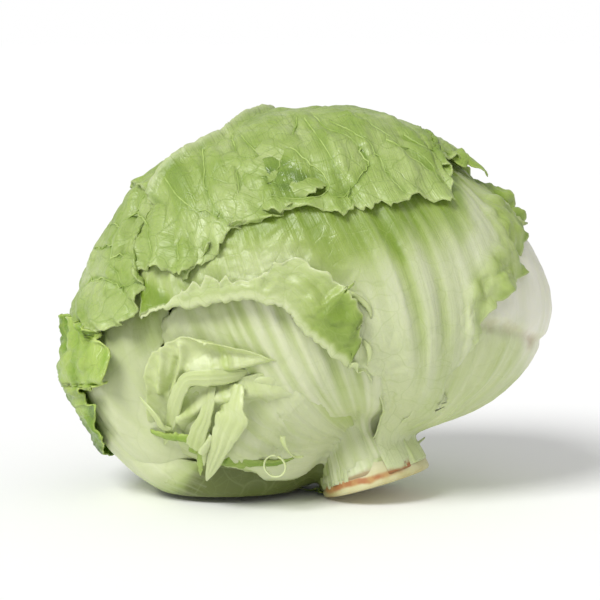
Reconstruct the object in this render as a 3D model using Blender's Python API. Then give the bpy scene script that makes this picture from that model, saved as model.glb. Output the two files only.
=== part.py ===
"""A head of iceberg lettuce, lying on its lower left leaf and on the edge of its cut stem.

The head is built the way it grows: a short conical stem, and leaves that clasp it and lie on each other in
nested layers. Every leaf is one thin curved sheet of its own.

A place on the head is a direction from its centre. STEM_AXIS points down through the stem. "Polar" is the
angle away from STEM_AXIS, 180 degrees at the crown, and "azimuth" turns round it: 0 faces the front (-Y) and
90 the right. A leaf has its own pair of angles: "along" runs from the stem over its midrib, and "across" is
the angle to either side of the midrib, to the right when the stem is down.
"""

import math
from collections import namedtuple

import bmesh
import bpy
import numpy as np
from mathutils import Vector

MM = 0.001

# The head: an egg-shaped ball whose long axis rises to the right.
HEAD_CENTRE = np.array((1.0, 0.0, 77.0)) * MM
HEAD_RADII = np.array((91.0, 65.0, 71.0)) * MM
HEAD_TILT = math.radians(14)
STEM_LEAN_RIGHT = math.radians(22)
STEM_LEAN_FRONT = math.radians(10)

# Where the ball swells or sinks: polar, azimuth, height and the angle over which it fades.
SWELLINGS = (
    (58, -85, 6.0 * MM, 26),
    (62, 92, 10.0 * MM, 26),
    (104, 88, -5.0 * MM, 22),
    (30, 0, -5.0 * MM, 20),
)

# Leaves.
LEAF_THICKNESS = 1.0 * MM
COLLAR_PINCH = 0.12          # how much closer to the centre the layers pass where they clasp the stem
COLLAR_SPREAD = 28           # degrees from the stem over which that pinch fades
OUTERMOST_LAYER = 1.135       # the layer that the head lies on
FLOOR_SPACING = 65.0 * MM    # height above the surface for each whole unit of layer inside that one

# Stem: distance from the head's centre, and radius there.
STEM_PROFILE = np.array(((12, 4), (30, 10), (50, 14), (66, 18), (74, 20.5), (90, 22))) * MM
STEM_SIDES = 28
STEM_CUT_DISTANCE = 77.2 * MM
STEM_CUT_NORMAL = (0.278, -0.118, -0.953)
STEM_CLEARANCE = 0.9 * MM    # between the stem and the edge of a leaf that clasps it

# Heart: leaves inside the wrappers, each turned by the golden angle from the one outside it.
HEART_LAYERS = (0.845, 0.80, 0.755, 0.705, 0.65, 0.59, 0.525, 0.455, 0.375)
HEART_FIRST_AZIMUTH = 20
GOLDEN_ANGLE = 137.5
HEART_REACH = 158
HEART_HALF_WIDTH = 72

# Leaf colours (linear), outside in.
OUTER_GREEN = (0.300, 0.440, 0.085)
RIBBED_GREEN = (0.560, 0.680, 0.260)
WRAPPER_PALE = (0.590, 0.680, 0.340)
HEART_YELLOW = (0.600, 0.680, 0.300)
STEM_CREAM = (0.640, 0.620, 0.340)

# azimuth and layer place a leaf's midrib on the head. base is how far it clasps the stem to each side, as
# azimuths from the midrib. left and right are its margins from the stem up, and tip joins them, all as
# (along, across) in degrees. cells is how many faces it has along and across.
Leaf = namedtuple("Leaf", "name azimuth layer base left tip right cells colour")

OUTER_LEAVES = (
    Leaf("hood_leaf_top", 180, 1.10, (-50, 50),
         left=((45, -36), (100, -58), (160, -68)),
         tip=((208, -72), (228, -61), (254, -57), (255, -41), (251, -26), (244, -12), (242, 4), (248, 20),
              (248, 31)),
         right=((45, 35), (110, 46), (170, 42), (215, 31)),
         cells=(23, 12), colour=OUTER_GREEN),
    Leaf("hood_leaf_left", -120, 1.065, (-50, 45),
         left=((45, -34), (100, -48), (160, -46)),
         tip=((205, -30), (228, 0), (236, 25), (233, 44), (216, 52), (198, 64)),
         right=((40, 18), (75, 27), (100, 42), (112, 58), (124, 68), (146, 68), (172, 69)),
         cells=(21, 11), colour=OUTER_GREEN),
    Leaf("left_outer_leaf", -100, 1.135, (-30, 30),
         left=((40, -22), (75, -32), (100, -28)),
         tip=((107, -14), (110, 4), (107, 18), (102, 30)),
         right=((40, 8), (62, 10), (74, 18), (84, 29), (94, 35)),
         cells=(11, 7), colour=OUTER_GREEN),
    Leaf("back_outer_leaf", 150, 1.135, (-18, 35),
         left=((40, -10), (75, -13)),
         tip=((102, -12), (115, 0), (115, 12), (102, 28)),
         right=((40, 26), (75, 34)),
         cells=(11, 7), colour=OUTER_GREEN),
    Leaf("bottom_leaf", -60, 1.10, (-55, 45),
         left=((35, -32), (60, -48), (80, -50)),
         tip=((95, -44), (98, -34), (90, -24), (80, -14)),
         right=((28, 14), (46, 11), (60, 3), (70, -5)),
         cells=(11, 9), colour=WRAPPER_PALE),
)

WRAPPER_LEAVES = (
    Leaf("ribbed_wrapper_leaf", 30, 1.03, (-12, 65),
         left=((43, -4), (59, -11), (66, -19), (81, -30), (92, -37), (102, -52), (125, -66)),
         tip=((152, -68), (172, -40), (178, 0), (166, 32), (142, 48)),
         right=((36, 19), (57, 23), (68, 35), (76, 56), (90, 60), (114, 56)),
         cells=(17, 12), colour=RIBBED_GREEN),
    Leaf("right_wrapper_leaf", 90, 0.995, (-55, 50),
         left=((45, -42), (80, -52), (112, -48)),
         tip=((136, -32), (150, -10), (150, 10), (138, 30)),
         right=((45, 42), (80, 50), (112, 46)),
         cells=(14, 10), colour=WRAPPER_PALE),
    Leaf("back_wrapper_leaf", 150, 0.96, (-55, 55),
         left=((45, -42), (85, -54), (120, -50)),
         tip=((145, -34), (160, -10), (160, 10), (145, 34)),
         right=((45, 42), (85, 54), (120, 50)),
         cells=(14, 10), colour=WRAPPER_PALE),
    Leaf("left_wrapper_leaf", -75, 0.89, (-50, 45),
         left=((40, -35), (80, -48), (115, -45)),
         tip=((140, -25), (150, 5), (140, 30), (118, 46)),
         right=((30, 16), (42, 15), (61, 12), (76, 20), (88, 28), (100, 42)),
         cells=(14, 10), colour=WRAPPER_PALE),
    Leaf("pale_wrapper_leaf", -20, 0.925, (-40, 62),
         left=((30, -15), (60, -27), (85, -34)),
         tip=((101, -30), (104, -5), (100, 22), (94, 46)),
         right=((30, 32), (55, 46), (76, 52)),
         cells=(10, 8), colour=WRAPPER_PALE),
)

# Torn leaves of the opened left side, the lowest one outermost.
TORN_LEAVES = (
    Leaf("torn_leaf_upper", -40, 0.96, (-20, 55),
         left=((30, -14), (58, -24)),
         tip=((77, -27), (85, -16), (89, -3), (84, 11)),
         right=((27, 24), (45, 30), (60, 29), (74, 22)),
         cells=(9, 7), colour=HEART_YELLOW),
    Leaf("torn_leaf_middle", -45, 0.995, (-25, 50),
         left=((22, -10), (40, -18)),
         tip=((58, -21), (65, -12), (68, -2), (63, 9)),
         right=((26, 18), (42, 20), (53, 17)),
         cells=(8, 6), colour=HEART_YELLOW),
    Leaf("torn_leaf_lower", -55, 1.03, (-35, 45),
         left=((20, -14), (33, -20)),
         tip=((46, -23), (57, -14), (62, -2), (58, 10)),
         right=((22, 15), (42, 17)),
         cells=(7, 6), colour=HEART_YELLOW),
)


def unit(vector):
    return vector / np.linalg.norm(vector, axis=-1, keepdims=True)


def stem_frame():
    """The stem's direction, the way to azimuth 0 (front) and the way to azimuth 90 (right)."""
    crown = np.array((-math.sin(STEM_LEAN_RIGHT) * math.cos(STEM_LEAN_FRONT), math.sin(STEM_LEAN_FRONT),
                      math.cos(STEM_LEAN_RIGHT) * math.cos(STEM_LEAN_FRONT)))
    front = np.array((0.0, -1.0, 0.0))
    front = unit(front - crown * (front @ crown))
    return -crown, front, np.cross(crown, front)


STEM_AXIS, FRONT, RIGHT = stem_frame()


def direction(polar, azimuth):
    """Unit vectors for polar and azimuth in radians."""
    polar = np.asarray(polar)[..., None]
    azimuth = np.asarray(azimuth)[..., None]
    sideways = np.cos(azimuth) * FRONT + np.sin(azimuth) * RIGHT
    return np.cos(polar) * STEM_AXIS + np.sin(polar) * sideways


def leaf_direction(leaf, along, across):
    """Unit vectors for a leaf's own angles, in degrees."""
    middle = math.radians(leaf.azimuth)
    outwards = math.cos(middle) * FRONT + math.sin(middle) * RIGHT
    sideways = -math.sin(middle) * FRONT + math.cos(middle) * RIGHT
    along = np.radians(along)[..., None]
    across = np.radians(across)[..., None]
    return np.cos(across) * (np.cos(along) * STEM_AXIS + np.sin(along) * outwards) + np.sin(across) * sideways


def head_radius(directions):
    """How far the ball's surface is from its centre along each direction."""
    long_axis = np.array((math.cos(HEAD_TILT), 0.0, math.sin(HEAD_TILT)))
    deep_axis = np.array((0.0, 1.0, 0.0))
    short_axis = np.cross(long_axis, deep_axis)
    parts = np.stack((directions @ long_axis, directions @ deep_axis, directions @ short_axis), axis=-1)
    radius = 1.0 / np.linalg.norm(parts / HEAD_RADII, axis=-1)
    for polar, azimuth, height, spread in SWELLINGS:
        centre = direction(math.radians(polar), math.radians(azimuth))
        angle = np.degrees(np.arccos(np.clip(directions @ centre, -1, 1)))
        radius = radius + height * np.exp(-(angle / spread) ** 2)
    return radius


def layer_distance(directions, layer):
    """The distance from the centre at which a layer passes, pinched in round the stem."""
    polar = np.degrees(np.arccos(np.clip(directions @ STEM_AXIS, -1, 1)))
    pinched = layer - COLLAR_PINCH * np.exp(-(polar / COLLAR_SPREAD) ** 2)
    return head_radius(directions) * pinched


def layer_points(directions, layer):
    """Points of a layer, pressed flat where the head lies on the surface."""
    points = HEAD_CENTRE + directions * layer_distance(directions, layer)[..., None]
    lowest = max(0.0, OUTERMOST_LAYER - layer) * FLOOR_SPACING
    points[..., 2] = np.maximum(points[..., 2], lowest)
    return points


def clasp_polar(azimuth, layer):
    """The polar angle at which a layer meets the stem, found by closing in on the stem's side."""
    polar = np.full_like(azimuth, 0.3)
    for _ in range(20):
        directions = direction(polar, azimuth)
        distance = layer_distance(directions, layer)
        stem_radius = np.interp(distance * np.cos(polar), STEM_PROFILE[:, 0], STEM_PROFILE[:, 1])
        polar = np.arcsin(np.clip((stem_radius + STEM_CLEARANCE) / distance, 0, 1))
    return polar


def smooth_line(points, count):
    """Evenly spaced points on a smooth curve through the given ones."""
    points = np.asarray(points, dtype=float)
    padded = np.vstack((2 * points[0] - points[1], points, 2 * points[-1] - points[-2]))
    fine = []
    for i in range(len(points) - 1):
        before, start, end, after = padded[i:i + 4]
        for t in np.linspace(0, 1, 16, endpoint=False):
            fine.append(0.5 * (2 * start + (end - before) * t
                               + (2 * before - 5 * start + 4 * end - after) * t ** 2
                               + (3 * start - before - 3 * end + after) * t ** 3))
    fine.append(points[-1])
    fine = np.array(fine)
    length = np.concatenate(((0,), np.cumsum(np.linalg.norm(np.diff(fine, axis=0), axis=1))))
    wanted = np.linspace(0, length[-1], count)
    return np.stack([np.interp(wanted, length, fine[:, axis]) for axis in (0, 1)], axis=-1)


def clasp_line(leaf, count):
    """The leaf's edge round the stem, in its own angles."""
    turn = np.radians(np.linspace(leaf.base[0], leaf.base[1], count))
    polar = clasp_polar(turn + math.radians(leaf.azimuth), leaf.layer)
    along = np.arctan2(np.sin(polar) * np.cos(turn), np.cos(polar))
    across = np.arcsin(np.sin(polar) * np.sin(turn))
    return np.degrees(np.stack((along, across), axis=-1))


def leaf_grid(leaf):
    """A grid of leaf angles stretched between the leaf's four edges."""
    rows, columns = leaf.cells[0] + 1, leaf.cells[1] + 1
    base = clasp_line(leaf, columns)
    tip = smooth_line(leaf.tip, columns)
    left = smooth_line((base[0],) + tuple(leaf.left) + (leaf.tip[0],), rows)
    right = smooth_line((base[-1],) + tuple(leaf.right) + (leaf.tip[-1],), rows)
    s = np.linspace(0, 1, rows)[:, None, None]
    t = np.linspace(0, 1, columns)[None, :, None]
    between_sides = (1 - t) * left[:, None] + t * right[:, None]
    between_ends = (1 - s) * base[None] + s * tip[None]
    corners = ((1 - s) * ((1 - t) * base[0] + t * base[-1]) + s * ((1 - t) * tip[0] + t * tip[-1]))
    return between_sides + between_ends - corners


def leaf_material(name, colour, roughness=0.45):
    material = bpy.data.materials.new(name)
    material.use_nodes = True
    shader = material.node_tree.nodes["Principled BSDF"]
    shader.inputs["Base Color"].default_value = (*colour, 1.0)
    shader.inputs["Roughness"].default_value = roughness
    shader.inputs["Metallic"].default_value = 0.0
    return material


def new_object(name, mesh, colour):
    mesh.materials.append(leaf_material(name, colour))
    mesh.shade_smooth()
    part = bpy.data.objects.new(name, mesh)
    bpy.context.scene.collection.objects.link(part)
    return part


def make_leaf(leaf):
    """One leaf: a curved sheet, thickened inwards."""
    grid = leaf_grid(leaf)
    points = layer_points(leaf_direction(leaf, grid[..., 0], grid[..., 1]), leaf.layer)
    rows, columns = points.shape[:2]
    index = np.arange(rows * columns).reshape(rows, columns)
    faces = [(index[i, j], index[i, j + 1], index[i + 1, j + 1], index[i + 1, j])
             for i in range(rows - 1) for j in range(columns - 1)]
    mesh = bpy.data.meshes.new(leaf.name)
    mesh.from_pydata(points.reshape(-1, 3).tolist(), [], [tuple(map(int, face)) for face in faces])
    part = new_object(leaf.name, mesh, leaf.colour)
    first = mesh.polygons[0]
    if first.normal.dot(first.center - Vector(HEAD_CENTRE)) < 0:
        mesh.flip_normals()
    thicken = part.modifiers.new("thickness", "SOLIDIFY")
    thicken.thickness = LEAF_THICKNESS
    thicken.offset = -1
    return part


def heart_leaf(number, layer):
    """A leaf of the closed heart, with a plain rounded outline."""
    half = HEART_HALF_WIDTH
    reach = HEART_REACH
    azimuth = HEART_FIRST_AZIMUTH + number * GOLDEN_ANGLE
    side = ((45, 0.62 * half), (80, 0.93 * half), (115, 0.95 * half))
    tip_side = ((0.86 * reach, 0.72 * half), (reach, 0.28 * half))
    return Leaf(f"heart_leaf_{number + 1}", azimuth, layer, (-60, 60),
                left=tuple((along, -across) for along, across in side),
                tip=tuple((along, -across) for along, across in tip_side) + tip_side[::-1],
                right=side, cells=(9, 8), colour=HEART_YELLOW)


def make_stem():
    """The conical stem, with the slanted face of its cut."""
    mesh = bpy.data.meshes.new("stem")
    shape = bmesh.new()
    turns = np.linspace(0, 2 * math.pi, STEM_SIDES, endpoint=False)[:, None]
    outwards = np.cos(turns) * FRONT + np.sin(turns) * RIGHT
    rings = []
    for distance, radius in STEM_PROFILE:
        circle = HEAD_CENTRE + STEM_AXIS * distance + outwards * radius
        rings.append([shape.verts.new(point) for point in circle])
    for lower, upper in zip(rings, rings[1:]):
        for i in range(STEM_SIDES):
            j = (i + 1) % STEM_SIDES
            shape.faces.new((lower[i], lower[j], upper[j], upper[i]))
    shape.faces.new(rings[0])
    everything = shape.verts[:] + shape.edges[:] + shape.faces[:]
    bmesh.ops.bisect_plane(shape, geom=everything, plane_co=HEAD_CENTRE + STEM_AXIS * STEM_CUT_DISTANCE,
                           plane_no=STEM_CUT_NORMAL, clear_outer=True)
    open_edges = [edge for edge in shape.edges if edge.is_boundary]
    bmesh.ops.contextual_create(shape, geom=open_edges)
    bmesh.ops.recalc_face_normals(shape, faces=shape.faces[:])
    shape.to_mesh(mesh)
    shape.free()
    return new_object("stem", mesh, STEM_CREAM)


def stand_on_origin(parts):
    """Put the middle of the head's footprint box on the origin."""
    bpy.context.view_layer.update()
    graph = bpy.context.evaluated_depsgraph_get()
    corners = []
    for part in parts:
        evaluated = part.evaluated_get(graph)
        corners.append(np.array([vertex.co for vertex in evaluated.data.vertices]))
    corners = np.vstack(corners)
    low, high = corners.min(axis=0), corners.max(axis=0)
    shift = ((low[0] + high[0]) / 2, (low[1] + high[1]) / 2, low[2])
    for part in parts:
        part.location = [-value for value in shift]


def main():
    for old in list(bpy.data.objects):
        bpy.data.objects.remove(old)
    parts = [make_stem()]
    parts += [make_leaf(leaf) for leaf in OUTER_LEAVES + WRAPPER_LEAVES + TORN_LEAVES]
    parts += [make_leaf(heart_leaf(number, layer)) for number, layer in enumerate(HEART_LAYERS)]
    stand_on_origin(parts)


main()
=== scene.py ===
"""The looks of a head of iceberg lettuce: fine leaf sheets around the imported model's nested leaves.

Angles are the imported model's own. "Polar" is the angle away from the stem's direction, "azimuth" turns round
it (0 is the front, 90 the right). On a leaf, "along" runs from the stem over its midrib and "across" is the
angle to either side of it, both in degrees. A layer is a ball-like surface, and 1.0 is the ball itself.
Lengths are in metres, and a number of millimetres is written times MM. A leaf's relief adds up from lumps
(size, seed), streaks (width, length, seed), ruffles, ribs and ridges, and the numbers in front are their
heights. Its paint values run from 0 to about 1.
"""

import math
from collections import namedtuple

import bmesh
import bpy
import numpy as np
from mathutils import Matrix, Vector
from mathutils.bvhtree import BVHTree


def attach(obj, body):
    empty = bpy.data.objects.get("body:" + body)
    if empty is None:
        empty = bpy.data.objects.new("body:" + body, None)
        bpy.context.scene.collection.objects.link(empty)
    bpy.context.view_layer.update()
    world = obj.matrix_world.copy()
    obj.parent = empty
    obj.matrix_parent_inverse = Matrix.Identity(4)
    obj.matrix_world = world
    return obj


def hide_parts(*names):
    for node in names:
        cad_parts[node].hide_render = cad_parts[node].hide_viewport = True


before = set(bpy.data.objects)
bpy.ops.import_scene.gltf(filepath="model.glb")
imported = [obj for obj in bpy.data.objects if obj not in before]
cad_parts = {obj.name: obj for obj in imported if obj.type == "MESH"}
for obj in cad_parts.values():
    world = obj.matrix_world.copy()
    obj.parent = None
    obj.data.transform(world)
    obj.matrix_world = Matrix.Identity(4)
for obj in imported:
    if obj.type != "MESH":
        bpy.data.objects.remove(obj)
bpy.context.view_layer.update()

MM = 0.001

# ---------------------------------------------------------------- the head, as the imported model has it

HEAD_CENTRE = np.array((2.36, -3.44, 77.0)) * MM
HEAD_RADII = np.array((91.0, 65.0, 71.0)) * MM
HEAD_TILT = math.radians(14)
STEM_LEAN_RIGHT = math.radians(22)
STEM_LEAN_FRONT = math.radians(10)
SWELLINGS = (
    (58, -85, 6.0 * MM, 26),
    (62, 92, 10.0 * MM, 26),
    (104, 88, -5.0 * MM, 22),
    (30, 0, -5.0 * MM, 20),
)
COLLAR_PINCH = 0.12
COLLAR_SPREAD = 28
OUTERMOST_LAYER = 1.135
FLOOR_SPACING = 65.0 * MM
STEM_PROFILE = np.array(((12, 4), (30, 10), (50, 14), (66, 18.5), (74, 21.8), (90, 24))) * MM
STEM_CUT_DISTANCE = 77.2 * MM
STEM_CUT_NORMAL = np.array((0.278, -0.118, -0.953))
HEART_LAYERS = (0.845, 0.80, 0.755, 0.705, 0.65, 0.59, 0.525, 0.455, 0.375)
HEART_FIRST_AZIMUTH = 20
GOLDEN_ANGLE = 137.5
HEART_REACH = 158
HEART_HALF_WIDTH = 72

# ---------------------------------------------------------------- the fine sheets

FINE_STEP = 1.05 * MM
PLAIN_STEP = 1.8 * MM
SHEET_THICKNESS = 0.6 * MM
TORN_THICKNESS = 0.4 * MM
SURFACE_CLEARANCE = 0.1 * MM
COLLAR_ROWS = 12
BEND_ROWS = 14
BEND_ROUNDS = 40
COLLAR_CLEARANCE = 0.5 * MM
COLLAR_SPACING = 14.0 * MM
COLLAR_END = 1.6 * MM
COLLAR_END_SPACING = 18.0 * MM
FAN_LIMIT = 180
FAN_REACH = 60.0 * MM
PUFF_OVER_FLOOR = (2 * MM, 9 * MM)
PUFF_FROM_STEM = (15 * MM, 45 * MM)
STEM_NEAR_CUT = 20 * MM


def unit(vectors):
    return vectors / np.maximum(np.linalg.norm(vectors, axis=-1, keepdims=True), 1e-12)


def stem_frame():
    """The stem's direction, the way to azimuth 0 and the way to azimuth 90."""
    crown = np.array((-math.sin(STEM_LEAN_RIGHT) * math.cos(STEM_LEAN_FRONT), math.sin(STEM_LEAN_FRONT),
                      math.cos(STEM_LEAN_RIGHT) * math.cos(STEM_LEAN_FRONT)))
    front = np.array((0.0, -1.0, 0.0))
    front = unit(front - crown * (front @ crown))
    return -crown, front, np.cross(crown, front)


STEM_AXIS, FRONT, RIGHT = stem_frame()


def direction(polar, azimuth):
    """Unit vectors for polar and azimuth in radians."""
    polar = np.asarray(polar)[..., None]
    azimuth = np.asarray(azimuth)[..., None]
    return np.cos(polar) * STEM_AXIS + np.sin(polar) * (np.cos(azimuth) * FRONT + np.sin(azimuth) * RIGHT)


def leaf_direction(azimuth, along, across):
    """Unit vectors for a leaf's own angles."""
    middle = math.radians(azimuth)
    outwards = math.cos(middle) * FRONT + math.sin(middle) * RIGHT
    sideways = -math.sin(middle) * FRONT + math.cos(middle) * RIGHT
    along = np.radians(along)[..., None]
    across = np.radians(across)[..., None]
    return np.cos(across) * (np.cos(along) * STEM_AXIS + np.sin(along) * outwards) + np.sin(across) * sideways


def head_radius(directions):
    """How far the ball's surface is from the head's centre: a tilted egg shape with swellings."""
    long_axis = np.array((math.cos(HEAD_TILT), 0.0, math.sin(HEAD_TILT)))
    deep_axis = np.array((0.0, 1.0, 0.0))
    short_axis = np.cross(long_axis, deep_axis)
    parts = np.stack((directions @ long_axis, directions @ deep_axis, directions @ short_axis), axis=-1)
    radius = 1.0 / np.linalg.norm(parts / HEAD_RADII, axis=-1)
    for polar, azimuth, height, spread in SWELLINGS:
        centre = direction(math.radians(polar), math.radians(azimuth))
        angle = np.degrees(np.arccos(np.clip(directions @ centre, -1, 1)))
        radius = radius + height * np.exp(-(angle / spread) ** 2)
    return radius


def layer_distance(directions, layer):
    polar = np.degrees(np.arccos(np.clip(directions @ STEM_AXIS, -1, 1)))
    return head_radius(directions) * (layer - COLLAR_PINCH * np.exp(-(polar / COLLAR_SPREAD) ** 2))


def layer_points(directions, layer):
    """Points of a layer, pressed flat where the head lies on the surface."""
    points = HEAD_CENTRE + directions * layer_distance(directions, layer)[..., None]
    lowest = np.maximum(0.0, OUTERMOST_LAYER - layer) * FLOOR_SPACING
    points[..., 2] = np.maximum(points[..., 2], lowest)
    return points


def stem_radius(distance):
    return np.interp(distance, STEM_PROFILE[:, 0], STEM_PROFILE[:, 1])


def cut_height(azimuth, radius):
    """How far down the stem its slanted cut is, at an azimuth (radians) and a radius."""
    aside = direction(math.pi / 2, azimuth)
    return (STEM_CUT_DISTANCE - radius * (aside @ STEM_CUT_NORMAL)) / (STEM_AXIS @ STEM_CUT_NORMAL)


# ---------------------------------------------------------------- smooth noise and curves

NOISE_SIZE = 64
NOISE_TABLE = np.random.default_rng(7).uniform(-1, 1, (NOISE_SIZE,) * 3)


def noise(points, scale, seed=0):
    """Smooth noise from -1 to 1. Scale is the size of its lumps, one number or one for each axis."""
    place = points / scale + 17.31 * seed
    cell = np.floor(place).astype(int)
    part = place - cell
    part = part * part * (3 - 2 * part)
    total = 0.0
    for corner in np.ndindex(2, 2, 2):
        weight = np.prod(np.where(np.array(corner) == 1, part, 1 - part), axis=-1)
        i, j, k = np.moveaxis((cell + corner) % NOISE_SIZE, -1, 0)
        total = total + weight * NOISE_TABLE[i, j, k]
    return total


def wave_noise(place, seed=0):
    """Smooth noise along a line, for a place counted in lumps."""
    place = np.asarray(place, dtype=float)
    return noise(np.stack((place, place * 0 + 0.5, place * 0 + 0.5), axis=-1), 1.0, seed)


def smooth_line(points, count):
    """Evenly spaced points on a smooth curve through the given ones."""
    points = np.asarray(points, dtype=float)
    padded = np.vstack((2 * points[0] - points[1], points, 2 * points[-1] - points[-2]))
    fine = []
    for i in range(len(points) - 1):
        before, start, end, after = padded[i:i + 4]
        for t in np.linspace(0, 1, 16, endpoint=False):
            fine.append(0.5 * (2 * start + (end - before) * t
                               + (2 * before - 5 * start + 4 * end - after) * t ** 2
                               + (3 * start - before - 3 * end + after) * t ** 3))
    fine.append(points[-1])
    fine = np.array(fine)
    length = np.concatenate(((0,), np.cumsum(np.linalg.norm(np.diff(fine, axis=0), axis=1))))
    wanted = np.linspace(0, length[-1], count)
    return np.stack([np.interp(wanted, length, fine[:, axis]) for axis in range(fine.shape[1])], axis=-1)


def fade(value, start, end):
    """0 before start, 1 after end, smooth between them."""
    part = np.clip((value - start) / (end - start), 0, 1)
    return part * part * (3 - 2 * part)


def bump(value, middle, width):
    return np.exp(-((value - middle) / width) ** 2)


# ---------------------------------------------------------------- a leaf sheet

Leaf = namedtuple("Leaf", "azimuth layer base left tip right")
Teeth = namedtuple("Teeth", "spacing depth seed")


def clasp_line(leaf, count):
    """The leaf's edge round the stem, in its own angles."""
    turn = np.radians(np.linspace(leaf.base[0], leaf.base[1], count))
    azimuth = turn + math.radians(leaf.azimuth)
    polar = np.full_like(azimuth, 0.3)
    for _ in range(20):
        distance = layer_distance(direction(polar, azimuth), leaf.layer)
        radius = stem_radius(distance * np.cos(polar)) + COLLAR_CLEARANCE
        polar = np.arcsin(np.clip(radius / distance, 0, 1))
    along = np.arctan2(np.sin(polar) * np.cos(turn), np.cos(polar))
    across = np.arcsin(np.sin(polar) * np.sin(turn))
    return np.degrees(np.stack((along, across), axis=-1))


def tooth_heights(arc, teeth):
    """How far a toothed margin stands out, at places along it."""
    rng = np.random.default_rng(teeth.seed)
    heights = rng.uniform(0.15, 1.0, 200) ** 1.4
    total = np.zeros_like(arc)
    small = (teeth.spacing * 0.37, teeth.depth * 0.3, 90)
    for spacing, depth, shift in ((teeth.spacing, teeth.depth, 0), small):
        place = arc / spacing + 0.45 * wave_noise(arc / spacing * 0.7, teeth.seed + shift)
        number = np.floor(place).astype(int)
        part = place - number
        lean = 0.35 + 0.3 * heights[(number + shift + 40) % 200]
        rise = np.where(part < lean, part / lean, (1 - part) / (1 - lean))
        total = total + depth * heights[(number + shift) % 200] * rise ** 1.3
    return total


class Sheet:
    """A leaf's grid: places s along and t across it, from 0 to 1, and the points and margins that follow.

    Its first rows are the collar, where the leaf runs down the stem to the cut.
    """

    def __init__(self, leaf, step, teeth=None, tooth_reach=7 * MM):
        self.leaf = leaf
        self.rows = max(8, int(max(self.edge_length("left"), self.edge_length("right")) / step))
        self.columns = max(8, int(self.width() / step))
        base = clasp_line(leaf, self.columns)
        tip = smooth_line(leaf.tip, self.columns)
        left = smooth_line((base[0],) + tuple(leaf.left) + (leaf.tip[0],), self.rows)
        right = smooth_line((base[-1],) + tuple(leaf.right) + (leaf.tip[-1],), self.rows)
        down = np.concatenate((np.zeros(COLLAR_ROWS), np.linspace(0, 1, self.rows)))
        self.s, self.t = np.meshgrid(down, np.linspace(0, 1, self.columns), indexing="ij")
        left, right = (np.vstack((np.repeat(line[:1], COLLAR_ROWS, axis=0), line)) for line in (left, right))
        s, t = self.s[..., None], self.t[..., None]
        angles = ((1 - t) * left[:, None] + t * right[:, None] + (1 - s) * base[None] + s * tip[None]
                  - (1 - s) * ((1 - t) * base[0] + t * base[-1]) - s * ((1 - t) * tip[0] + t * tip[-1]))
        self.along, self.across = angles[..., 0], angles[..., 1]
        self.measure()
        if teeth is not None:
            self.cut_teeth(teeth, tooth_reach)

    def edge_length(self, side):
        line = ((16, 0),) + tuple(getattr(self.leaf, side)) + (self.leaf.tip[0 if side == "left" else -1],)
        points = self.at(smooth_line(line, 40))
        return np.linalg.norm(np.diff(points, axis=0), axis=1).sum()

    def width(self):
        widest = 0.0
        for left, right in zip(self.leaf.left, self.leaf.right):
            points = self.at(smooth_line((left, right), 20))
            widest = max(widest, np.linalg.norm(np.diff(points, axis=0), axis=1).sum())
        return widest

    def at(self, angles, layer=None):
        """Points of the leaf's layer at its own angles."""
        angles = np.asarray(angles, dtype=float)
        out = leaf_direction(self.leaf.azimuth, angles[..., 0], angles[..., 1])
        return layer_points(out, self.leaf.layer if layer is None else layer)

    def measure(self):
        """Points on the layer, outward normals, and the distance to and place along the margin."""
        self.out = leaf_direction(self.leaf.azimuth, self.along, self.across)
        self.flat = layer_points(self.out, self.leaf.layer)
        self.lay_collar()
        self.normal = grid_normals(self.flat, self.out)
        row_steps = np.linalg.norm(np.diff(self.flat, axis=0), axis=-1)
        column_steps = np.linalg.norm(np.diff(self.flat, axis=1), axis=-1)
        down = np.pad(np.cumsum(row_steps, axis=0), ((1, 0), (0, 0)))
        over = np.pad(np.cumsum(column_steps, axis=1), ((0, 0), (1, 0)))
        self.from_base = down
        self.from_left, self.from_right = over, over[:, -1:] - over
        self.aside = over - 0.5 * over[:, -1:]
        along, across = np.radians(self.along), np.radians(self.across)
        self.fan = np.arctan2(np.sin(across), np.cos(across) * np.sin(along))
        self.fans_out = self.along.max() < FAN_LIMIT
        if self.fans_out:
            self.aside = self.fan * FAN_REACH
        self.from_tip = down[-1:] - down
        self.edge = np.minimum(np.minimum(self.from_left, self.from_right), self.from_tip)
        sides = np.stack((self.from_left, self.from_tip, self.from_right))
        arcs = np.stack(np.broadcast_arrays(down[:, :1], down[-1, 0] + over[-1:], down[-1, 0] + over[-1, -1]
                                            + self.from_tip[:, -1:]))
        weights = 1.0 / (sides + 1 * MM) ** 4
        self.arc = (arcs * weights).sum(axis=0) / weights.sum(axis=0)

    def lay_collar(self):
        """Run the first rows down the stem and round off the bend above them."""
        turn = np.radians(np.linspace(self.leaf.base[0], self.leaf.base[1], self.columns))
        azimuth = turn + math.radians(self.leaf.azimuth)
        aside = direction(math.pi / 2, azimuth)
        top = (self.flat[COLLAR_ROWS] - HEAD_CENTRE) @ STEM_AXIS
        spare = COLLAR_END + (OUTERMOST_LAYER - self.leaf.layer) * COLLAR_END_SPACING
        end = np.maximum(cut_height(azimuth, STEM_NEAR_CUT) - spare, top + 1 * MM)
        stand_off = COLLAR_CLEARANCE + max(0.0, self.leaf.layer - 0.9) * COLLAR_SPACING
        for row in range(COLLAR_ROWS):
            part = row / COLLAR_ROWS
            distance = end + (top - end) * part
            radius = stem_radius(distance) + stand_off * fade(part, -0.1, 0.5)
            self.flat[row] = HEAD_CENTRE + distance[:, None] * STEM_AXIS + radius[:, None] * aside
        last = COLLAR_ROWS + BEND_ROWS
        for _ in range(BEND_ROUNDS):
            neighbours = self.flat[0:last - 1] + self.flat[2:last + 1]
            self.flat[1:last] = 0.5 * self.flat[1:last] + 0.25 * neighbours
        self.flat[..., 2] = np.maximum(self.flat[..., 2], 0.0)

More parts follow.
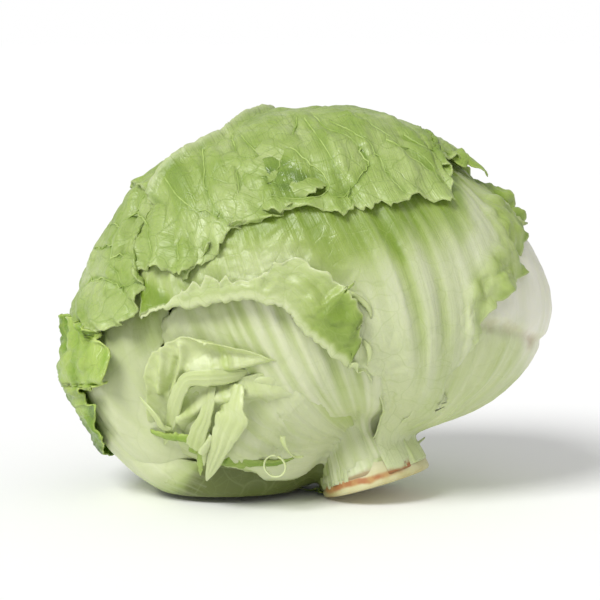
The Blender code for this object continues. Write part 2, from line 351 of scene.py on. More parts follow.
    def cut_teeth(self, teeth, reach):
        """Pull the margin out into teeth, fading inwards."""
        out = tooth_heights(self.arc, teeth) - 0.35 * teeth.depth
        pull = out * np.exp(-self.edge / reach) * fade(self.from_base, 16 * MM, 34 * MM)
        gradient = np.stack(np.gradient(self.edge), axis=-1)
        per_row = np.maximum(np.linalg.norm(np.gradient(self.flat, axis=0), axis=-1), 1e-6)
        per_column = np.maximum(np.linalg.norm(np.gradient(self.flat, axis=1), axis=-1), 1e-6)
        slope = unit(np.stack((gradient[..., 0] / per_row, gradient[..., 1] / per_column), axis=-1))
        rows_out = -slope[..., 0] * pull / per_row
        columns_out = -slope[..., 1] * pull / per_column
        along_row, along_column = np.gradient(self.along)
        across_row, across_column = np.gradient(self.across)
        self.along = self.along + along_row * rows_out + along_column * columns_out
        self.across = self.across + across_row * rows_out + across_column * columns_out
        kept = self.edge, self.arc, self.aside, self.from_base
        self.measure()
        self.edge, self.arc, self.aside, self.from_base = kept

    def line(self, angles, count=24):
        return self.at(smooth_line(angles, count))

    def ridge(self, angles, height, width):
        """A rounded ridge (or a groove, with a negative height) along a line of the leaf."""
        return height * np.exp(-(line_distance(self.flat, self.line(angles)) / width) ** 2)

    def inside(self, angles, soft):
        """1 inside a closed outline of the leaf, fading out over a soft margin."""
        outline = np.asarray(angles, dtype=float)
        inside = np.zeros(self.along.shape, dtype=bool)
        for start, end in zip(outline, np.roll(outline, -1, axis=0)):
            spans = (start[1] > self.across) != (end[1] > self.across)
            step = end[1] - start[1] if end[1] != start[1] else 1e-9
            crossing = start[0] + (self.across - start[1]) / step * (end[0] - start[0])
            inside ^= spans & (self.along < crossing)
        distance = line_distance(self.flat, self.at(np.vstack((outline, outline[:1]))))
        return fade(np.where(inside, distance, -distance), -0.5 * soft, 0.5 * soft)

    def lumps(self, size, seed):
        return noise(self.flat, size, seed)

    def streaks(self, width, length, seed):
        """Noise drawn out along the leaf."""
        aside = self.aside if self.fans_out else self.t * self.columns * FINE_STEP
        place = np.stack((aside / width, self.from_base / length, self.s * 0), axis=-1)
        return noise(place, 1.0, seed)

    def ruffle(self, height, spacing, reach, seed):
        """Waves that stand across the margin and die away inwards."""
        phase = self.arc / spacing + 0.8 * wave_noise(self.arc / spacing * 0.6, seed)
        swing = np.sin(2 * math.pi * phase) * (0.65 + 0.35 * wave_noise(self.arc / spacing * 0.31, seed + 5))
        return height * swing * np.exp(-self.edge / reach) * fade(self.from_base, 25 * MM, 60 * MM)

    def ribs(self, places, width, narrow=0.045):
        """How rib-like each place is, for ribs that fan out from the stem at these places across the leaf."""
        breadth = self.from_left[:, -1:] + 0 * self.t
        half = np.minimum(width, narrow * breadth + 0.3 * MM)
        total = np.zeros_like(self.t)
        middle = COLLAR_ROWS + self.rows // 2
        from_axis = self.flat - HEAD_CENTRE
        from_axis = np.linalg.norm(from_axis - (from_axis @ STEM_AXIS)[..., None] * STEM_AXIS, axis=-1)
        for place, strength in places:
            away = (self.t - place) * breadth
            if self.fans_out:
                away = (self.fan - np.interp(place, self.t[middle], self.fan[middle])) * from_axis
            total = total + strength * np.exp(-(away / half) ** 2)
        return np.clip(total, 0, 1.2)


def grid_normals(points, outwards):
    across = np.gradient(points, axis=1)
    down = np.gradient(points, axis=0)
    normals = unit(np.cross(across, down))
    flip = np.sign((normals * outwards).sum(axis=-1, keepdims=True))
    return normals * np.where(flip == 0, 1, flip)


def line_distance(points, line):
    """How far points are from a line of short straight steps."""
    best = np.full(points.shape[:-1], np.inf)
    for start, end in zip(line[:-1], line[1:]):
        step = end - start
        length = max(np.linalg.norm(step), 1e-9)
        part = np.clip(((points - start) @ step) / length ** 2, 0, 1)
        best = np.minimum(best, np.linalg.norm(points - start - part[..., None] * step, axis=-1))
    return best


# ---------------------------------------------------------------- meshes and node trees

LEAF_VALUES = ("white", "green", "vein", "stain", "wet", "puff", "aside", "grown", "rim")


def mesh_from_grid(name, points, values):
    """A smooth mesh from a grid of points facing away from the head, with its values as point attributes."""
    rows, columns = points.shape[:2]
    index = np.arange(rows * columns).reshape(rows, columns)
    quads = np.stack((index[:-1, :-1], index[:-1, 1:], index[1:, 1:], index[1:, :-1]), axis=-1)
    middle = points[rows // 2:rows // 2 + 2, columns // 2:columns // 2 + 2]
    facing = np.cross(middle[0, 1] - middle[0, 0], middle[1, 0] - middle[0, 0])
    if facing @ (middle[0, 0] - HEAD_CENTRE) < 0:
        quads = quads[..., ::-1]
    quads = quads.reshape(-1, 4)
    mesh = bpy.data.meshes.new(name)
    mesh.vertices.add(rows * columns)
    mesh.vertices.foreach_set("co", points.reshape(-1).astype(np.float32))
    mesh.loops.add(quads.size)
    mesh.loops.foreach_set("vertex_index", quads.reshape(-1).astype(np.int32))
    mesh.polygons.add(len(quads))
    mesh.polygons.foreach_set("loop_start", np.arange(0, quads.size, 4, dtype=np.int32))
    mesh.update(calc_edges=True)
    for key in LEAF_VALUES:
        attribute = mesh.attributes.new(key, "FLOAT", "POINT")
        value = np.broadcast_to(values.get(key, 0.0), points.shape[:2])
        attribute.data.foreach_set("value", value.reshape(-1).astype(np.float32))
    mesh.shade_smooth()
    return mesh


def new_object(name, mesh):
    piece = bpy.data.objects.new(name, mesh)
    bpy.context.scene.collection.objects.link(piece)
    return piece


class Tree:
    """A node tree with short ways to add and join nodes."""

    def __init__(self, tree):
        self.tree = tree

    def add(self, kind, inputs=None, output=0, **settings):
        node = self.tree.nodes.new(kind)
        for key, value in settings.items():
            setattr(node, key, value)
        for key, value in (inputs or {}).items():
            socket = node.inputs[key]
            if isinstance(value, bpy.types.NodeSocket):
                self.tree.links.new(value, socket)
            else:
                socket.default_value = value
        return node.outputs[output]

    def maths(self, operation, first, second=0.0, third=0.0, clamp=False):
        return self.add("ShaderNodeMath", {0: first, 1: second, 2: third}, operation=operation,
                        use_clamp=clamp)

    def vectors(self, operation, first, second=(0, 0, 0)):
        return self.add("ShaderNodeVectorMath", {0: first, 1: second}, operation=operation)

    def scaled(self, vector, factor):
        return self.add("ShaderNodeVectorMath", {0: vector, "Scale": factor}, operation="SCALE")

    def smooth(self, value, low, high, out_low=0.0, out_high=1.0):
        return self.add("ShaderNodeMapRange", {"Value": value, "From Min": low, "From Max": high,
                                               "To Min": out_low, "To Max": out_high},
                        interpolation_type="SMOOTHSTEP")

    def blend(self, factor, first, second):
        return self.add("ShaderNodeMix", {0: factor, 6: first, 7: second}, output=2, data_type="RGBA")

    def cells(self, place, size):
        """Distance to the edges of irregular cells of about this size, as a part of that size."""
        scale = self.maths("DIVIDE", 1.0, size)
        grown = self.scaled(place, scale)
        wobble = self.add("ShaderNodeTexNoise", {"Vector": grown, "Scale": 0.9, "Detail": 1.0},
                          output="Color")
        moved = self.vectors("ADD", grown, self.scaled(self.vectors("SUBTRACT", wobble, (0.5,) * 3), 1.1))
        return self.add("ShaderNodeTexVoronoi", {"Vector": moved, "Scale": 1.0}, output="Distance",
                        feature="DISTANCE_TO_EDGE")


def new_group(name, kind, inputs, outputs):
    """An empty node group with its sockets (name, type), its tree and what it is given."""
    group = bpy.data.node_groups.new(name, kind)
    for side, sockets in (("INPUT", inputs), ("OUTPUT", outputs)):
        for key, value_type in sockets:
            group.interface.new_socket(key, in_out=side, socket_type="NodeSocket" + value_type)
    return group, Tree(group), group.nodes.new("NodeGroupInput").outputs


def put_out(group, **values):
    result = group.nodes.new("NodeGroupOutput").inputs
    for key, value in values.items():
        group.links.new(value, result[key])
    return group


def finished_geometry(tree, geometry, finish):
    painted = tree.add("GeometryNodeSetMaterial", {"Geometry": geometry, "Material": finish})
    return tree.add("GeometryNodeRealizeInstances", {"Geometry": painted})


def crinkle_tree():
    """Raises the cells between a leaf's veins into blisters and wrinkles the sheet."""
    sizes = [(name, "Float") for name in ("Blister Size", "Blister Height", "Wrinkle Size", "Wrinkle Height")]
    group, tree, given = new_group("leaf_crinkle", "GeometryNodeTree",
                                   [("Geometry", "Geometry")] + sizes + [("Finish", "Material")],
                                   [("Geometry", "Geometry")])
    place = tree.add("GeometryNodeInputPosition")
    blister = tree.smooth(tree.cells(place, given["Blister Size"]), 0.0, 0.32)
    blister = tree.maths("MULTIPLY", blister, given["Blister Height"])
    wrinkle_place = tree.scaled(place, tree.maths("DIVIDE", 1.0, given["Wrinkle Size"]))
    wrinkle = tree.add("ShaderNodeTexNoise", {"Vector": wrinkle_place, "Scale": 1.0, "Detail": 2.0})
    wrinkle = tree.maths("MULTIPLY", tree.maths("SUBTRACT", wrinkle, 0.5), given["Wrinkle Height"])
    puff = tree.add("GeometryNodeInputNamedAttribute", {"Name": "puff"}, data_type="FLOAT")
    height = tree.maths("MULTIPLY", tree.maths("ADD", blister, wrinkle), puff)
    offset = tree.scaled(tree.add("GeometryNodeInputNormal"), height)
    moved = tree.add("GeometryNodeSetPosition", {"Geometry": given["Geometry"], "Offset": offset})
    return put_out(group, Geometry=finished_geometry(tree, moved, given["Finish"]))


def cord_tree():
    """Turns lines into fine round cords, as thick as each point's "thick" value."""
    group, tree, given = new_group("vein_cords", "GeometryNodeTree",
                                   [("Geometry", "Geometry"), ("Sides", "Int"), ("Finish", "Material")],
                                   [("Geometry", "Geometry")])
    curve = tree.add("GeometryNodeMeshToCurve", {"Mesh": given["Geometry"]})
    thick = tree.add("GeometryNodeInputNamedAttribute", {"Name": "thick"}, data_type="FLOAT")
    ring = tree.add("GeometryNodeCurvePrimitiveCircle", {"Resolution": given["Sides"], "Radius": 1.0})
    cords = tree.add("GeometryNodeCurveToMesh", {"Curve": curve, "Profile Curve": ring, "Scale": thick,
                                                 "Fill Caps": True})
    smooth = tree.add("GeometryNodeSetShadeSmooth", {"Geometry": cords})
    return put_out(group, Geometry=finished_geometry(tree, smooth, given["Finish"]))


CRINKLE = crinkle_tree()
CORDS = cord_tree()


def grown_by(piece, nodes, values):
    """Run a node tree on a piece and keep its result as the piece's plain mesh."""
    modifier = piece.modifiers.new(nodes.name, "NODES")
    modifier.node_group = nodes
    for item in nodes.interface.items_tree:
        if item.item_type == "SOCKET" and item.in_out == "INPUT" and item.name in values:
            modifier[item.identifier] = values[item.name]
    bpy.context.view_layer.update()
    grown = bpy.data.meshes.new_from_object(piece.evaluated_get(bpy.context.evaluated_depsgraph_get()),
                                            preserve_all_data_layers=True,
                                            depsgraph=bpy.context.evaluated_depsgraph_get())
    piece.modifiers.remove(modifier)
    piece.data = grown
    return piece


# ---------------------------------------------------------------- finishes


COLOUR_NAMES = ("Rib Colour", "Pale Colour", "Green Colour", "Deep Colour", "Vein Colour", "Stain Colour")
SIZE_NAMES = ("Cell Size", "Net Strength", "Streak Strength", "Mottle")
STREAKS_PER_METRE = 620.0
STREAK_CHANGES_PER_METRE = 26.0
LUMPS_PER_METRE = 55.0
GRAINS_PER_METRE = 620.0
FINE_CELL = 0.33


def skin_group():
    """A leaf's skin: its colour, roughness and relief from the values painted on the sheet and fine grain."""
    group, tree, given = new_group("leaf_skin", "ShaderNodeTree",
                                   [(name, "Color") for name in COLOUR_NAMES]
                                   + [(name, "Float") for name in SIZE_NAMES],
                                   [("Colour", "Color"), ("Roughness", "Float"), ("Height", "Float")])

    def painted(name):
        return tree.add("ShaderNodeAttribute", output="Fac", attribute_name=name)

    place = tree.add("ShaderNodeTexCoord", output="Object")
    white, green, vein, stain = (painted(name) for name in ("white", "green", "vein", "stain"))
    wet, rim = painted("wet"), painted("rim")
    run = tree.add("ShaderNodeCombineXYZ", {
        0: tree.maths("MULTIPLY", painted("aside"), STREAKS_PER_METRE),
        1: tree.maths("MULTIPLY", painted("grown"), STREAK_CHANGES_PER_METRE)})
    streak = tree.add("ShaderNodeTexNoise", {"Vector": run, "Scale": 1.0, "Detail": 3.0, "Roughness": 0.6})
    streak = tree.maths("SUBTRACT", streak, 0.5)
    lumps = tree.add("ShaderNodeTexNoise", {"Vector": place, "Scale": LUMPS_PER_METRE, "Detail": 4.0,
                                            "Roughness": 0.62})
    lumps = tree.maths("SUBTRACT", lumps, 0.5)
    grain = tree.add("ShaderNodeTexNoise", {"Vector": place, "Scale": GRAINS_PER_METRE, "Detail": 2.0})

    coarse = tree.smooth(tree.cells(place, given["Cell Size"]), 0.0, 0.045, 1.0, 0.0)
    fine_size = tree.maths("MULTIPLY", given["Cell Size"], FINE_CELL)
    fine = tree.smooth(tree.cells(place, fine_size), 0.0, 0.07, 0.45, 0.0)
    net = tree.maths("MULTIPLY", tree.maths("MAXIMUM", coarse, fine), given["Net Strength"])
    net = tree.maths("MULTIPLY", net, tree.maths("SUBTRACT", 1.0, white, clamp=True))

    leafy = tree.maths("MULTIPLY_ADD", lumps, given["Mottle"], green)
    leafy = tree.maths("MULTIPLY_ADD", streak, given["Streak Strength"], leafy, clamp=True)
    colour = tree.blend(leafy, given["Pale Colour"], given["Green Colour"])
    # Where green runs high the colour goes over to the deep colour: dark green mottles, and the painted shade
    # some leaves are given as extra green.
    deep = tree.smooth(tree.maths("MULTIPLY_ADD", lumps, 0.9, tree.maths("SUBTRACT", green, 0.72)), 0.1, 0.75)
    colour = tree.blend(deep, colour, given["Deep Colour"])
    ribbed = tree.maths("MULTIPLY_ADD", streak, given["Streak Strength"], white, clamp=True)
    ribbed = tree.maths("MULTIPLY", ribbed, tree.maths("GREATER_THAN", white, 0.001))
    colour = tree.blend(ribbed, colour, given["Rib Colour"])
    colour = tree.blend(tree.maths("MAXIMUM", vein, net, clamp=True), colour, given["Vein Colour"])
    edge_pale = tree.maths("MULTIPLY", tree.smooth(rim, 0.0, 0.12, 0.45, 0.0),
                           tree.maths("SUBTRACT", 1.0, white))
    colour = tree.blend(edge_pale, colour, given["Pale Colour"])
    spots = tree.smooth(tree.maths("ADD", tree.maths("MULTIPLY", stain, 1.15), lumps), 0.25, 0.85)
    spots = tree.maths("MULTIPLY", spots, tree.maths("GREATER_THAN", stain, 0.01))
    colour = tree.blend(spots, colour, given["Stain Colour"])
    drier = tree.maths("ADD", lumps, tree.maths("MULTIPLY", wet, -0.9))
    roughness = tree.smooth(drier, -0.45, 0.4, 0.22, 0.5)
    height = tree.maths("MULTIPLY_ADD", net, -0.5, tree.maths("MULTIPLY", grain, 0.22))
    height = tree.maths("MULTIPLY_ADD", streak, 0.9, height)
    return put_out(group, Colour=colour, Roughness=roughness, Height=height)


SKIN = skin_group()
Palette = namedtuple("Palette", "rib pale green deep vein stain")
GLOW_REACH = 4 * MM
LEAF_GLOW = 0.2


def new_finish(name):
    """A material, its tree and its Principled BSDF."""
    material = bpy.data.materials.new(name)
    material.use_nodes = True
    return material, Tree(material.node_tree), material.node_tree.nodes["Principled BSDF"]


def leaf_material(name, palette, cell=11 * MM, net=0.5, streak=0.5, mottle=0.5, relief=0.35 * MM):
    """A thin, slightly see-through leaf: its skin's colours, gloss and fine relief."""
    material, tree, shader = new_finish(name)
    skin = tree.tree.nodes.new("ShaderNodeGroup")
    skin.node_tree = SKIN
    for key, colour in zip(COLOUR_NAMES, palette):
        skin.inputs[key].default_value = (*colour, 1)
    for key, value in zip(SIZE_NAMES, (cell, net, streak, mottle)):
        skin.inputs[key].default_value = value
    normal = tree.add("ShaderNodeBump", {"Height": skin.outputs["Height"], "Distance": relief,
                                         "Strength": 1.0})
    for key, value in (("Base Color", skin.outputs["Colour"]), ("Roughness", skin.outputs["Roughness"]),
                       ("Normal", normal)):
        tree.tree.links.new(value, shader.inputs[key])
    shader.inputs["Subsurface Weight"].default_value = LEAF_GLOW
    shader.inputs["Subsurface Radius"].default_value = (0.8, 1.0, 0.3)
    shader.inputs["Subsurface Scale"].default_value = GLOW_REACH
    return material


STAIN_BROWN = (0.36, 0.15, 0.05)
OUTER = leaf_material("outer_leaf_green", Palette(
    rib=(0.50, 0.58, 0.30), pale=(0.46, 0.56, 0.22), green=(0.27, 0.38, 0.075), deep=(0.17, 0.27, 0.035),
    vein=(0.20, 0.31, 0.045), stain=(0.12, 0.20, 0.03)), net=0.42, streak=0.55, mottle=1.6, relief=0.6 * MM)
RIBBED_FINISH = leaf_material("ribbed_leaf_cream", Palette(
    rib=(0.60, 0.64, 0.43), pale=(0.58, 0.65, 0.35), green=(0.32, 0.42, 0.10), deep=(0.19, 0.29, 0.03),
    vein=(0.32, 0.42, 0.11), stain=STAIN_BROWN), net=0.26, streak=0.6, mottle=0.7, relief=0.4 * MM)
# The deep colour here, a dark olive, gives the bottom leaf's underside its painted shade.
PALE_FINISH = leaf_material("wrapper_leaf_pale", Palette(
    rib=(0.80, 0.81, 0.62), pale=(0.60, 0.67, 0.36), green=(0.38, 0.48, 0.14), deep=(0.12, 0.15, 0.03),
    vein=(0.40, 0.48, 0.19), stain=(0.42, 0.33, 0.18)), cell=16 * MM, net=0.16, streak=0.6, mottle=0.4)
TORN_FINISH = leaf_material("torn_leaf_yellow", Palette(
    rib=(0.68, 0.72, 0.48), pale=(0.58, 0.66, 0.32), green=(0.38, 0.49, 0.12), deep=(0.20, 0.30, 0.05),
    vein=(0.42, 0.51, 0.18), stain=(0.40, 0.30, 0.14)), cell=14 * MM, net=0.14, streak=0.8, mottle=0.5)
BRIGHT_FINISH = leaf_material("curled_leaf_bright", Palette(
    rib=(0.48, 0.60, 0.18), pale=(0.48, 0.60, 0.17), green=(0.22, 0.36, 0.03), deep=(0.09, 0.18, 0.01),
    vein=(0.36, 0.46, 0.10), stain=(0.10, 0.16, 0.02)), net=0.4, streak=0.4, mottle=1.2, relief=0.6 * MM)


def plain_finish(name, light, dark, roughness, size):
    """A plain surface that varies a little between two colours."""
    material, tree, shader = new_finish(name)
    place = tree.add("ShaderNodeTexCoord", output="Object")
    grain = tree.add("ShaderNodeTexNoise", {"Vector": place, "Scale": 1 / size, "Detail": 3.0})
    colour = tree.blend(tree.smooth(grain, 0.35, 0.65), (*light, 1), (*dark, 1))
    tree.tree.links.new(colour, shader.inputs["Base Color"])
    shader.inputs["Roughness"].default_value = roughness
    return material


VEIN_FINISH = plain_finish("raised_vein", (0.42, 0.54, 0.16), (0.27, 0.39, 0.07), 0.42, 6 * MM)


# ---------------------------------------------------------------- putting a piece together


def dress(piece, slot, *nodes):
    """Say which body a piece rides and which nodes it stands for. The slot is not used."""
    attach(piece, "root")
    if nodes:
        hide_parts(*nodes)
    return piece


def leaf_values(sheet, **values):
    """The values painted on a leaf: how white, green, veined, stained, wet and puffed up each place is. In a
    few places the white is a painted highlight and the green painted shade.
    """
    puff = values.get("puff", 1.0) * fade(sheet.flat[..., 2], *PUFF_OVER_FLOOR)
    values["puff"] = puff * fade(sheet.from_base, *PUFF_FROM_STEM)
    values.update(aside=sheet.aside, grown=sheet.from_base, rim=sheet.edge / (10 * MM))
    return values


def base_stain(sheet):
    """Browning of a leaf's base where the knife went through."""
    return 1.3 * np.exp(-sheet.from_base / (2.4 * MM)) * (0.75 + 0.7 * sheet.lumps(6 * MM, 50))


def leaf_piece(name, sheet, relief, material, blister=(10 * MM, 0.0), wrinkle=(7 * MM, 0.0), points=None,
               thickness=SHEET_THICKNESS, **values):
    """A leaf sheet with relief, crinkled by the node tree and given its thickness."""
    if points is None:
        soft_floor = fade(sheet.flat[..., 2], 0.2 * MM, 6 * MM)
        points = sheet.flat + sheet.normal * (relief * soft_floor)[..., None]
        values = leaf_values(sheet, **values)
    points[..., 2] = np.maximum(points[..., 2], SURFACE_CLEARANCE)
    piece = new_object(name, mesh_from_grid(name, points, values))
    grown_by(piece, CRINKLE, {"Blister Size": blister[0], "Blister Height": blister[1],
                              "Wrinkle Size": wrinkle[0], "Wrinkle Height": wrinkle[1], "Finish": material})
    return thicken(piece, thickness)


def thicken(piece, thickness=SHEET_THICKNESS):
    """Give a sheet its thickness, inwards, kept just above the surface the head lies on."""
    mesh = piece.data
    places = np.empty(3 * len(mesh.vertices))
    facing_up = np.empty(3 * len(mesh.vertices))
    mesh.vertices.foreach_get("co", places)
    mesh.vertex_normals.foreach_get("vector", facing_up)
    lowest = SURFACE_CLEARANCE + thickness * np.maximum(facing_up[2::3], 0)
    places[2::3] = np.maximum(places[2::3], lowest)
    mesh.vertices.foreach_set("co", places)
    mesh.update()
    solid = piece.modifiers.new("thickness", "SOLIDIFY")
    solid.thickness = thickness
    solid.offset = -1
    return piece


def vein_piece(name, sheet, leaf_piece_object, lines, thick=0.42 * MM):
    """Raised veins lying on a leaf: each line is its places on the leaf, and it thins out towards its end."""
    mesh = leaf_piece_object.data
    surface = BVHTree.FromPolygons([vertex.co for vertex in mesh.vertices],
                                   [tuple(face.vertices) for face in mesh.polygons])
    places, edges, widths = [], [], []
    for line in lines:
        first = len(places)
        points = sheet.line(line, 30)
        for number, point in enumerate(points):
            nearest, normal, _, _ = surface.find_nearest(Vector(point))
            places.append(nearest)
            widths.append(thick * (1 - 0.65 * number / (len(points) - 1)))
        edges += [(k, k + 1) for k in range(first, len(places) - 1)]
    lines_mesh = bpy.data.meshes.new(name)
    lines_mesh.from_pydata(places, edges, [])
    attribute = lines_mesh.attributes.new("thick", "FLOAT", "POINT")
    attribute.data.foreach_set("value", widths)
    piece = new_object(name, lines_mesh)
    return grown_by(piece, CORDS, {"Sides": 6, "Finish": VEIN_FINISH})


# ---------------------------------------------------------------- the hood: two green leaves over the top

HOOD_TOP = Leaf(180, 1.10, (-12, 50),
                left=((45, -6), (80, -32), (110, -54), (160, -68)),
                tip=((193, -68), (206, -69), (219, -63), (228, -57), (236, -59), (244, -57), (254, -55),
                     (253, -50), (250, -45), (252, -38), (249, -34), (251, -31), (248, -27), (250, -23),
                     (246, -17), (244, -12), (243, -6), (240, 0), (236, 3), (241, 5), (242, 9), (244, 13),
                     (248, 18), (248, 24), (250, 29), (246, 32)),
                right=((45, 35), (110, 44), (165, 37), (200, 31), (214, 29), (226, 30), (238, 32)))
HOOD_LEFT = Leaf(-120, 1.065, (-50, 45),
                 left=((45, -34), (100, -48), (160, -46)),
                 tip=((205, -30), (228, 0), (236, 25), (228, 48), (214, 54), (200, 62)),
                 right=((40, 18), (75, 27), (104, 38), (112, 47), (111, 55), (116, 63), (124, 67), (136, 66),
                        (144, 66), (146, 62), (152, 62), (160, 65), (166, 68), (176, 71), (190, 69)))
HOOD_FOLD = ((216, 30), (210, 25), (209, 21), (205, 11), (199, 4), (190, -4), (178, -12))
HOOD_DIP = ((212, 29), (220, 27), (226, 29), (233, 31), (240, 31), (248, 32))
BRUISE_NARROW = ((216, -5), (214, -10), (220, -12), (227, -9), (232, -5), (228, -3))
BRUISE_WIDE = ((222, -11), (229, -15), (233, -20), (240, -20), (241, -12), (233, -5))
HOOD_CREASES = (
    ((216, -24), (224, -27), (232, -27), (240, -29)),
    ((212, -38), (222, -44), (230, -46), (240, -47)),
    ((222, 3), (230, 5), (237, 6)),
    ((206, -33), (214, -36), (224, -36)),
)
HOOD_VEINS = (
    ((203, -19), (212, -17), (217, -15), (219, -12), (223, -11), (228, -9), (232, -5)),
    ((219, -14), (228, -18), (234, -20), (238, -21), (240, -18), (239, -11), (237, -5)),
    ((205, -21), (217, -23), (223, -24), (230, -25), (239, -26), (246, -27)),
    ((202, -24), (212, -26), (217, -29), (221, -32), (229, -35)),
    ((209, -28), (221, -35), (226, -38), (235, -39), (241, -40), (248, -42)),
    ((226, -34), (233, -35), (239, -31), (242, -27), (242, -22)),
    ((204, -35), (214, -40), (223, -48), (232, -53), (243, -54)),
    ((221, -42), (229, -50), (235, -53)),
    ((202, 1), (212, 1), (222, 2), (232, 3)),
    ((206, 10), (216, 11), (226, 13), (236, 12)),
    ((212, 22), (222, 21), (230, 18), (236, 12), (241, 10)),
    ((208, -2), (216, -4), (221, -8)),
    ((214, -48), (220, -54), (216, -62)),
)
LEFT_VEINS = (
    ((162, 37), (156, 40), (149, 41), (143, 45), (140, 50), (139, 56), (133, 61)),
    ((143, 45), (138, 38), (134, 32)),
    ((149, 41), (145, 34), (141, 29)),
    ((140, 50), (148, 53), (152, 58)),
    ((130, 45), (134, 54), (136, 60), (144, 63)),
    ((130, 45), (124, 38), (119, 32)),
    ((156, 40), (162, 48), (163, 56), (160, 62)),
    ((170, 42), (176, 50), (178, 58), (176, 66)),
    ((184, 36), (192, 46), (197, 56)),
)
HOOD_CRINKLE = {"blister": (13 * MM, 0.6 * MM), "wrinkle": (5 * MM, 1.1 * MM)}


def make_hood_top():
    sheet = Sheet(HOOD_TOP, FINE_STEP, Teeth(4.2 * MM, 2.8 * MM, 3), 3.5 * MM)
    shown = fade(sheet.along, 150, 200)
    folds = sheet.streaks(6 * MM, 45 * MM, 4) + 0.6 * sheet.streaks(3 * MM, 30 * MM, 14)
    relief = 3.0 * MM * sheet.lumps(27 * MM, 1) + 1.1 * MM * sheet.lumps(12 * MM, 2)
    relief += sheet.ruffle(2.4 * MM, 12 * MM, 7 * MM, 1)
    relief += sheet.ridge(HOOD_FOLD, 4.2 * MM, 1.9 * MM) + sheet.ridge(HOOD_DIP, -2.6 * MM, 2.6 * MM)
    pleated = fade(sheet.across, -8, 8) * fade(sheet.along, 205, 216)
    relief += (0.9 * MM + 1.8 * MM * pleated) * folds
    narrow, wide = sheet.inside(BRUISE_NARROW, 5 * MM), sheet.inside(BRUISE_WIDE, 6 * MM)
    relief -= 1.5 * MM * narrow + 1.4 * MM * wide
    relief += sum(sheet.ridge(fold, 1.7 * MM, 2.3 * MM) for fold in HOOD_CREASES)
    relief += sum(sheet.ridge(line, -0.9 * MM, 1.6 * MM) for line in HOOD_VEINS)
    # A thin white line painted along the fold's crest: a painted highlight.
    white = np.clip(1.1 * sheet.ridge(HOOD_FOLD, 1.0, 1.2 * MM), 0, 1)
    vein = sum(sheet.ridge(line, 0.75, 1.0 * MM) for line in HOOD_VEINS)
    # A darker line painted along the dip's groove: painted shade in the crease.
    vein = vein + sheet.ridge(HOOD_DIP, 0.5, 2.2 * MM)
    green = 0.72 + 0.25 * sheet.lumps(16 * MM, 9) + 0.35 * folds - 0.5 * np.exp(-sheet.edge / (1.6 * MM))
    green += 0.35 * wide + 0.25 * narrow - 0.35 * (1 - shown) * (1 - fade(sheet.along, 20, 80))
    green *= fade(sheet.along, 20, 80)
    patchy = np.clip(0.75 + 0.8 * sheet.lumps(4 * MM, 15), 0, 1.2)
    stain = np.maximum(0.75 * narrow, 0.5 * wide) * patchy
    leaf = leaf_piece("hood_top", sheet, relief, OUTER, **HOOD_CRINKLE, white=white, green=green, vein=vein,
                      stain=stain, wet=0.6 * np.maximum(narrow, wide), puff=1 - 0.3 * wide)
    dress(leaf, "outer_leaf", "hood_leaf_top")
    dress(vein_piece("hood_top_veins", sheet, leaf, HOOD_VEINS), "outer_leaf")


def make_hood_left():
    sheet = Sheet(HOOD_LEFT, FINE_STEP, Teeth(4.4 * MM, 3.0 * MM, 4), 3.5 * MM)
    folds = sheet.streaks(6 * MM, 40 * MM, 7)
    relief = 2.8 * MM * sheet.lumps(24 * MM, 5) + 1.1 * MM * sheet.lumps(11 * MM, 6) + 1.1 * MM * folds
    relief += sheet.ruffle(2.6 * MM, 12 * MM, 7 * MM, 2)
    relief += sheet.ridge(((160, 34), (157, 38), (152, 50), (145, 52)), -2.4 * MM, 2.0 * MM)
    relief += sheet.ridge(((150, 46), (140, 52), (130, 55)), 1.6 * MM, 3 * MM)
    relief += sum(sheet.ridge(line, -0.8 * MM, 1.6 * MM) for line in LEFT_VEINS)
    vein = sum(sheet.ridge(line, 0.7, 1.0 * MM) for line in LEFT_VEINS)
    green = 0.70 - 0.45 * np.exp(-sheet.edge / (1.6 * MM)) + 0.22 * sheet.lumps(16 * MM, 8) + 0.3 * folds
    leaf = leaf_piece("hood_left", sheet, relief, OUTER, **HOOD_CRINKLE, green=green, vein=vein)
    dress(leaf, "outer_leaf", "hood_leaf_left")
    dress(vein_piece("hood_left_veins", sheet, leaf, LEFT_VEINS), "outer_leaf")


# ---------------------------------------------------------------- the big ribbed leaf and its folded flap

RIBBED = Leaf(30, 1.03, (-12, 65),
              left=((29, -2), (38, -4), (52, -10), (59, -14), (64, -20), (72, -26), (80, -31), (88, -33),
                    (98, -43), (108, -57), (120, -65)),
              tip=((138, -74), (160, -60), (172, -40), (178, 0), (166, 32), (142, 48)),
              right=((28, 14), (43, 13), (51, 17), (58, 21), (66, 25), (70, 33), (72, 42), (78, 44), (84, 50),
                     (89, 58), (98, 58), (108, 57), (118, 54)))
RIB_PLACES = ((0.12, 0.20), (0.22, 0.25), (0.30, 0.35), (0.37, 0.45), (0.45, 0.6), (0.54, 0.85),
              (0.62, 0.6), (0.70, 0.95), (0.76, 0.6), (0.80, 1.0), (0.86, 0.4), (0.92, 0.3))
FLAP_WIDTH = np.array(((58, 0.5), (62, 2), (66, 11), (72, 18), (78, 21), (84, 19), (90, 15), (95, 9), (99, 4),
                       (104, 6), (108, 5), (113, 4), (118, 2), (124, 0.6)))
FLAP_ROLL = 1.1 * MM
FLAP_COLUMNS = 34


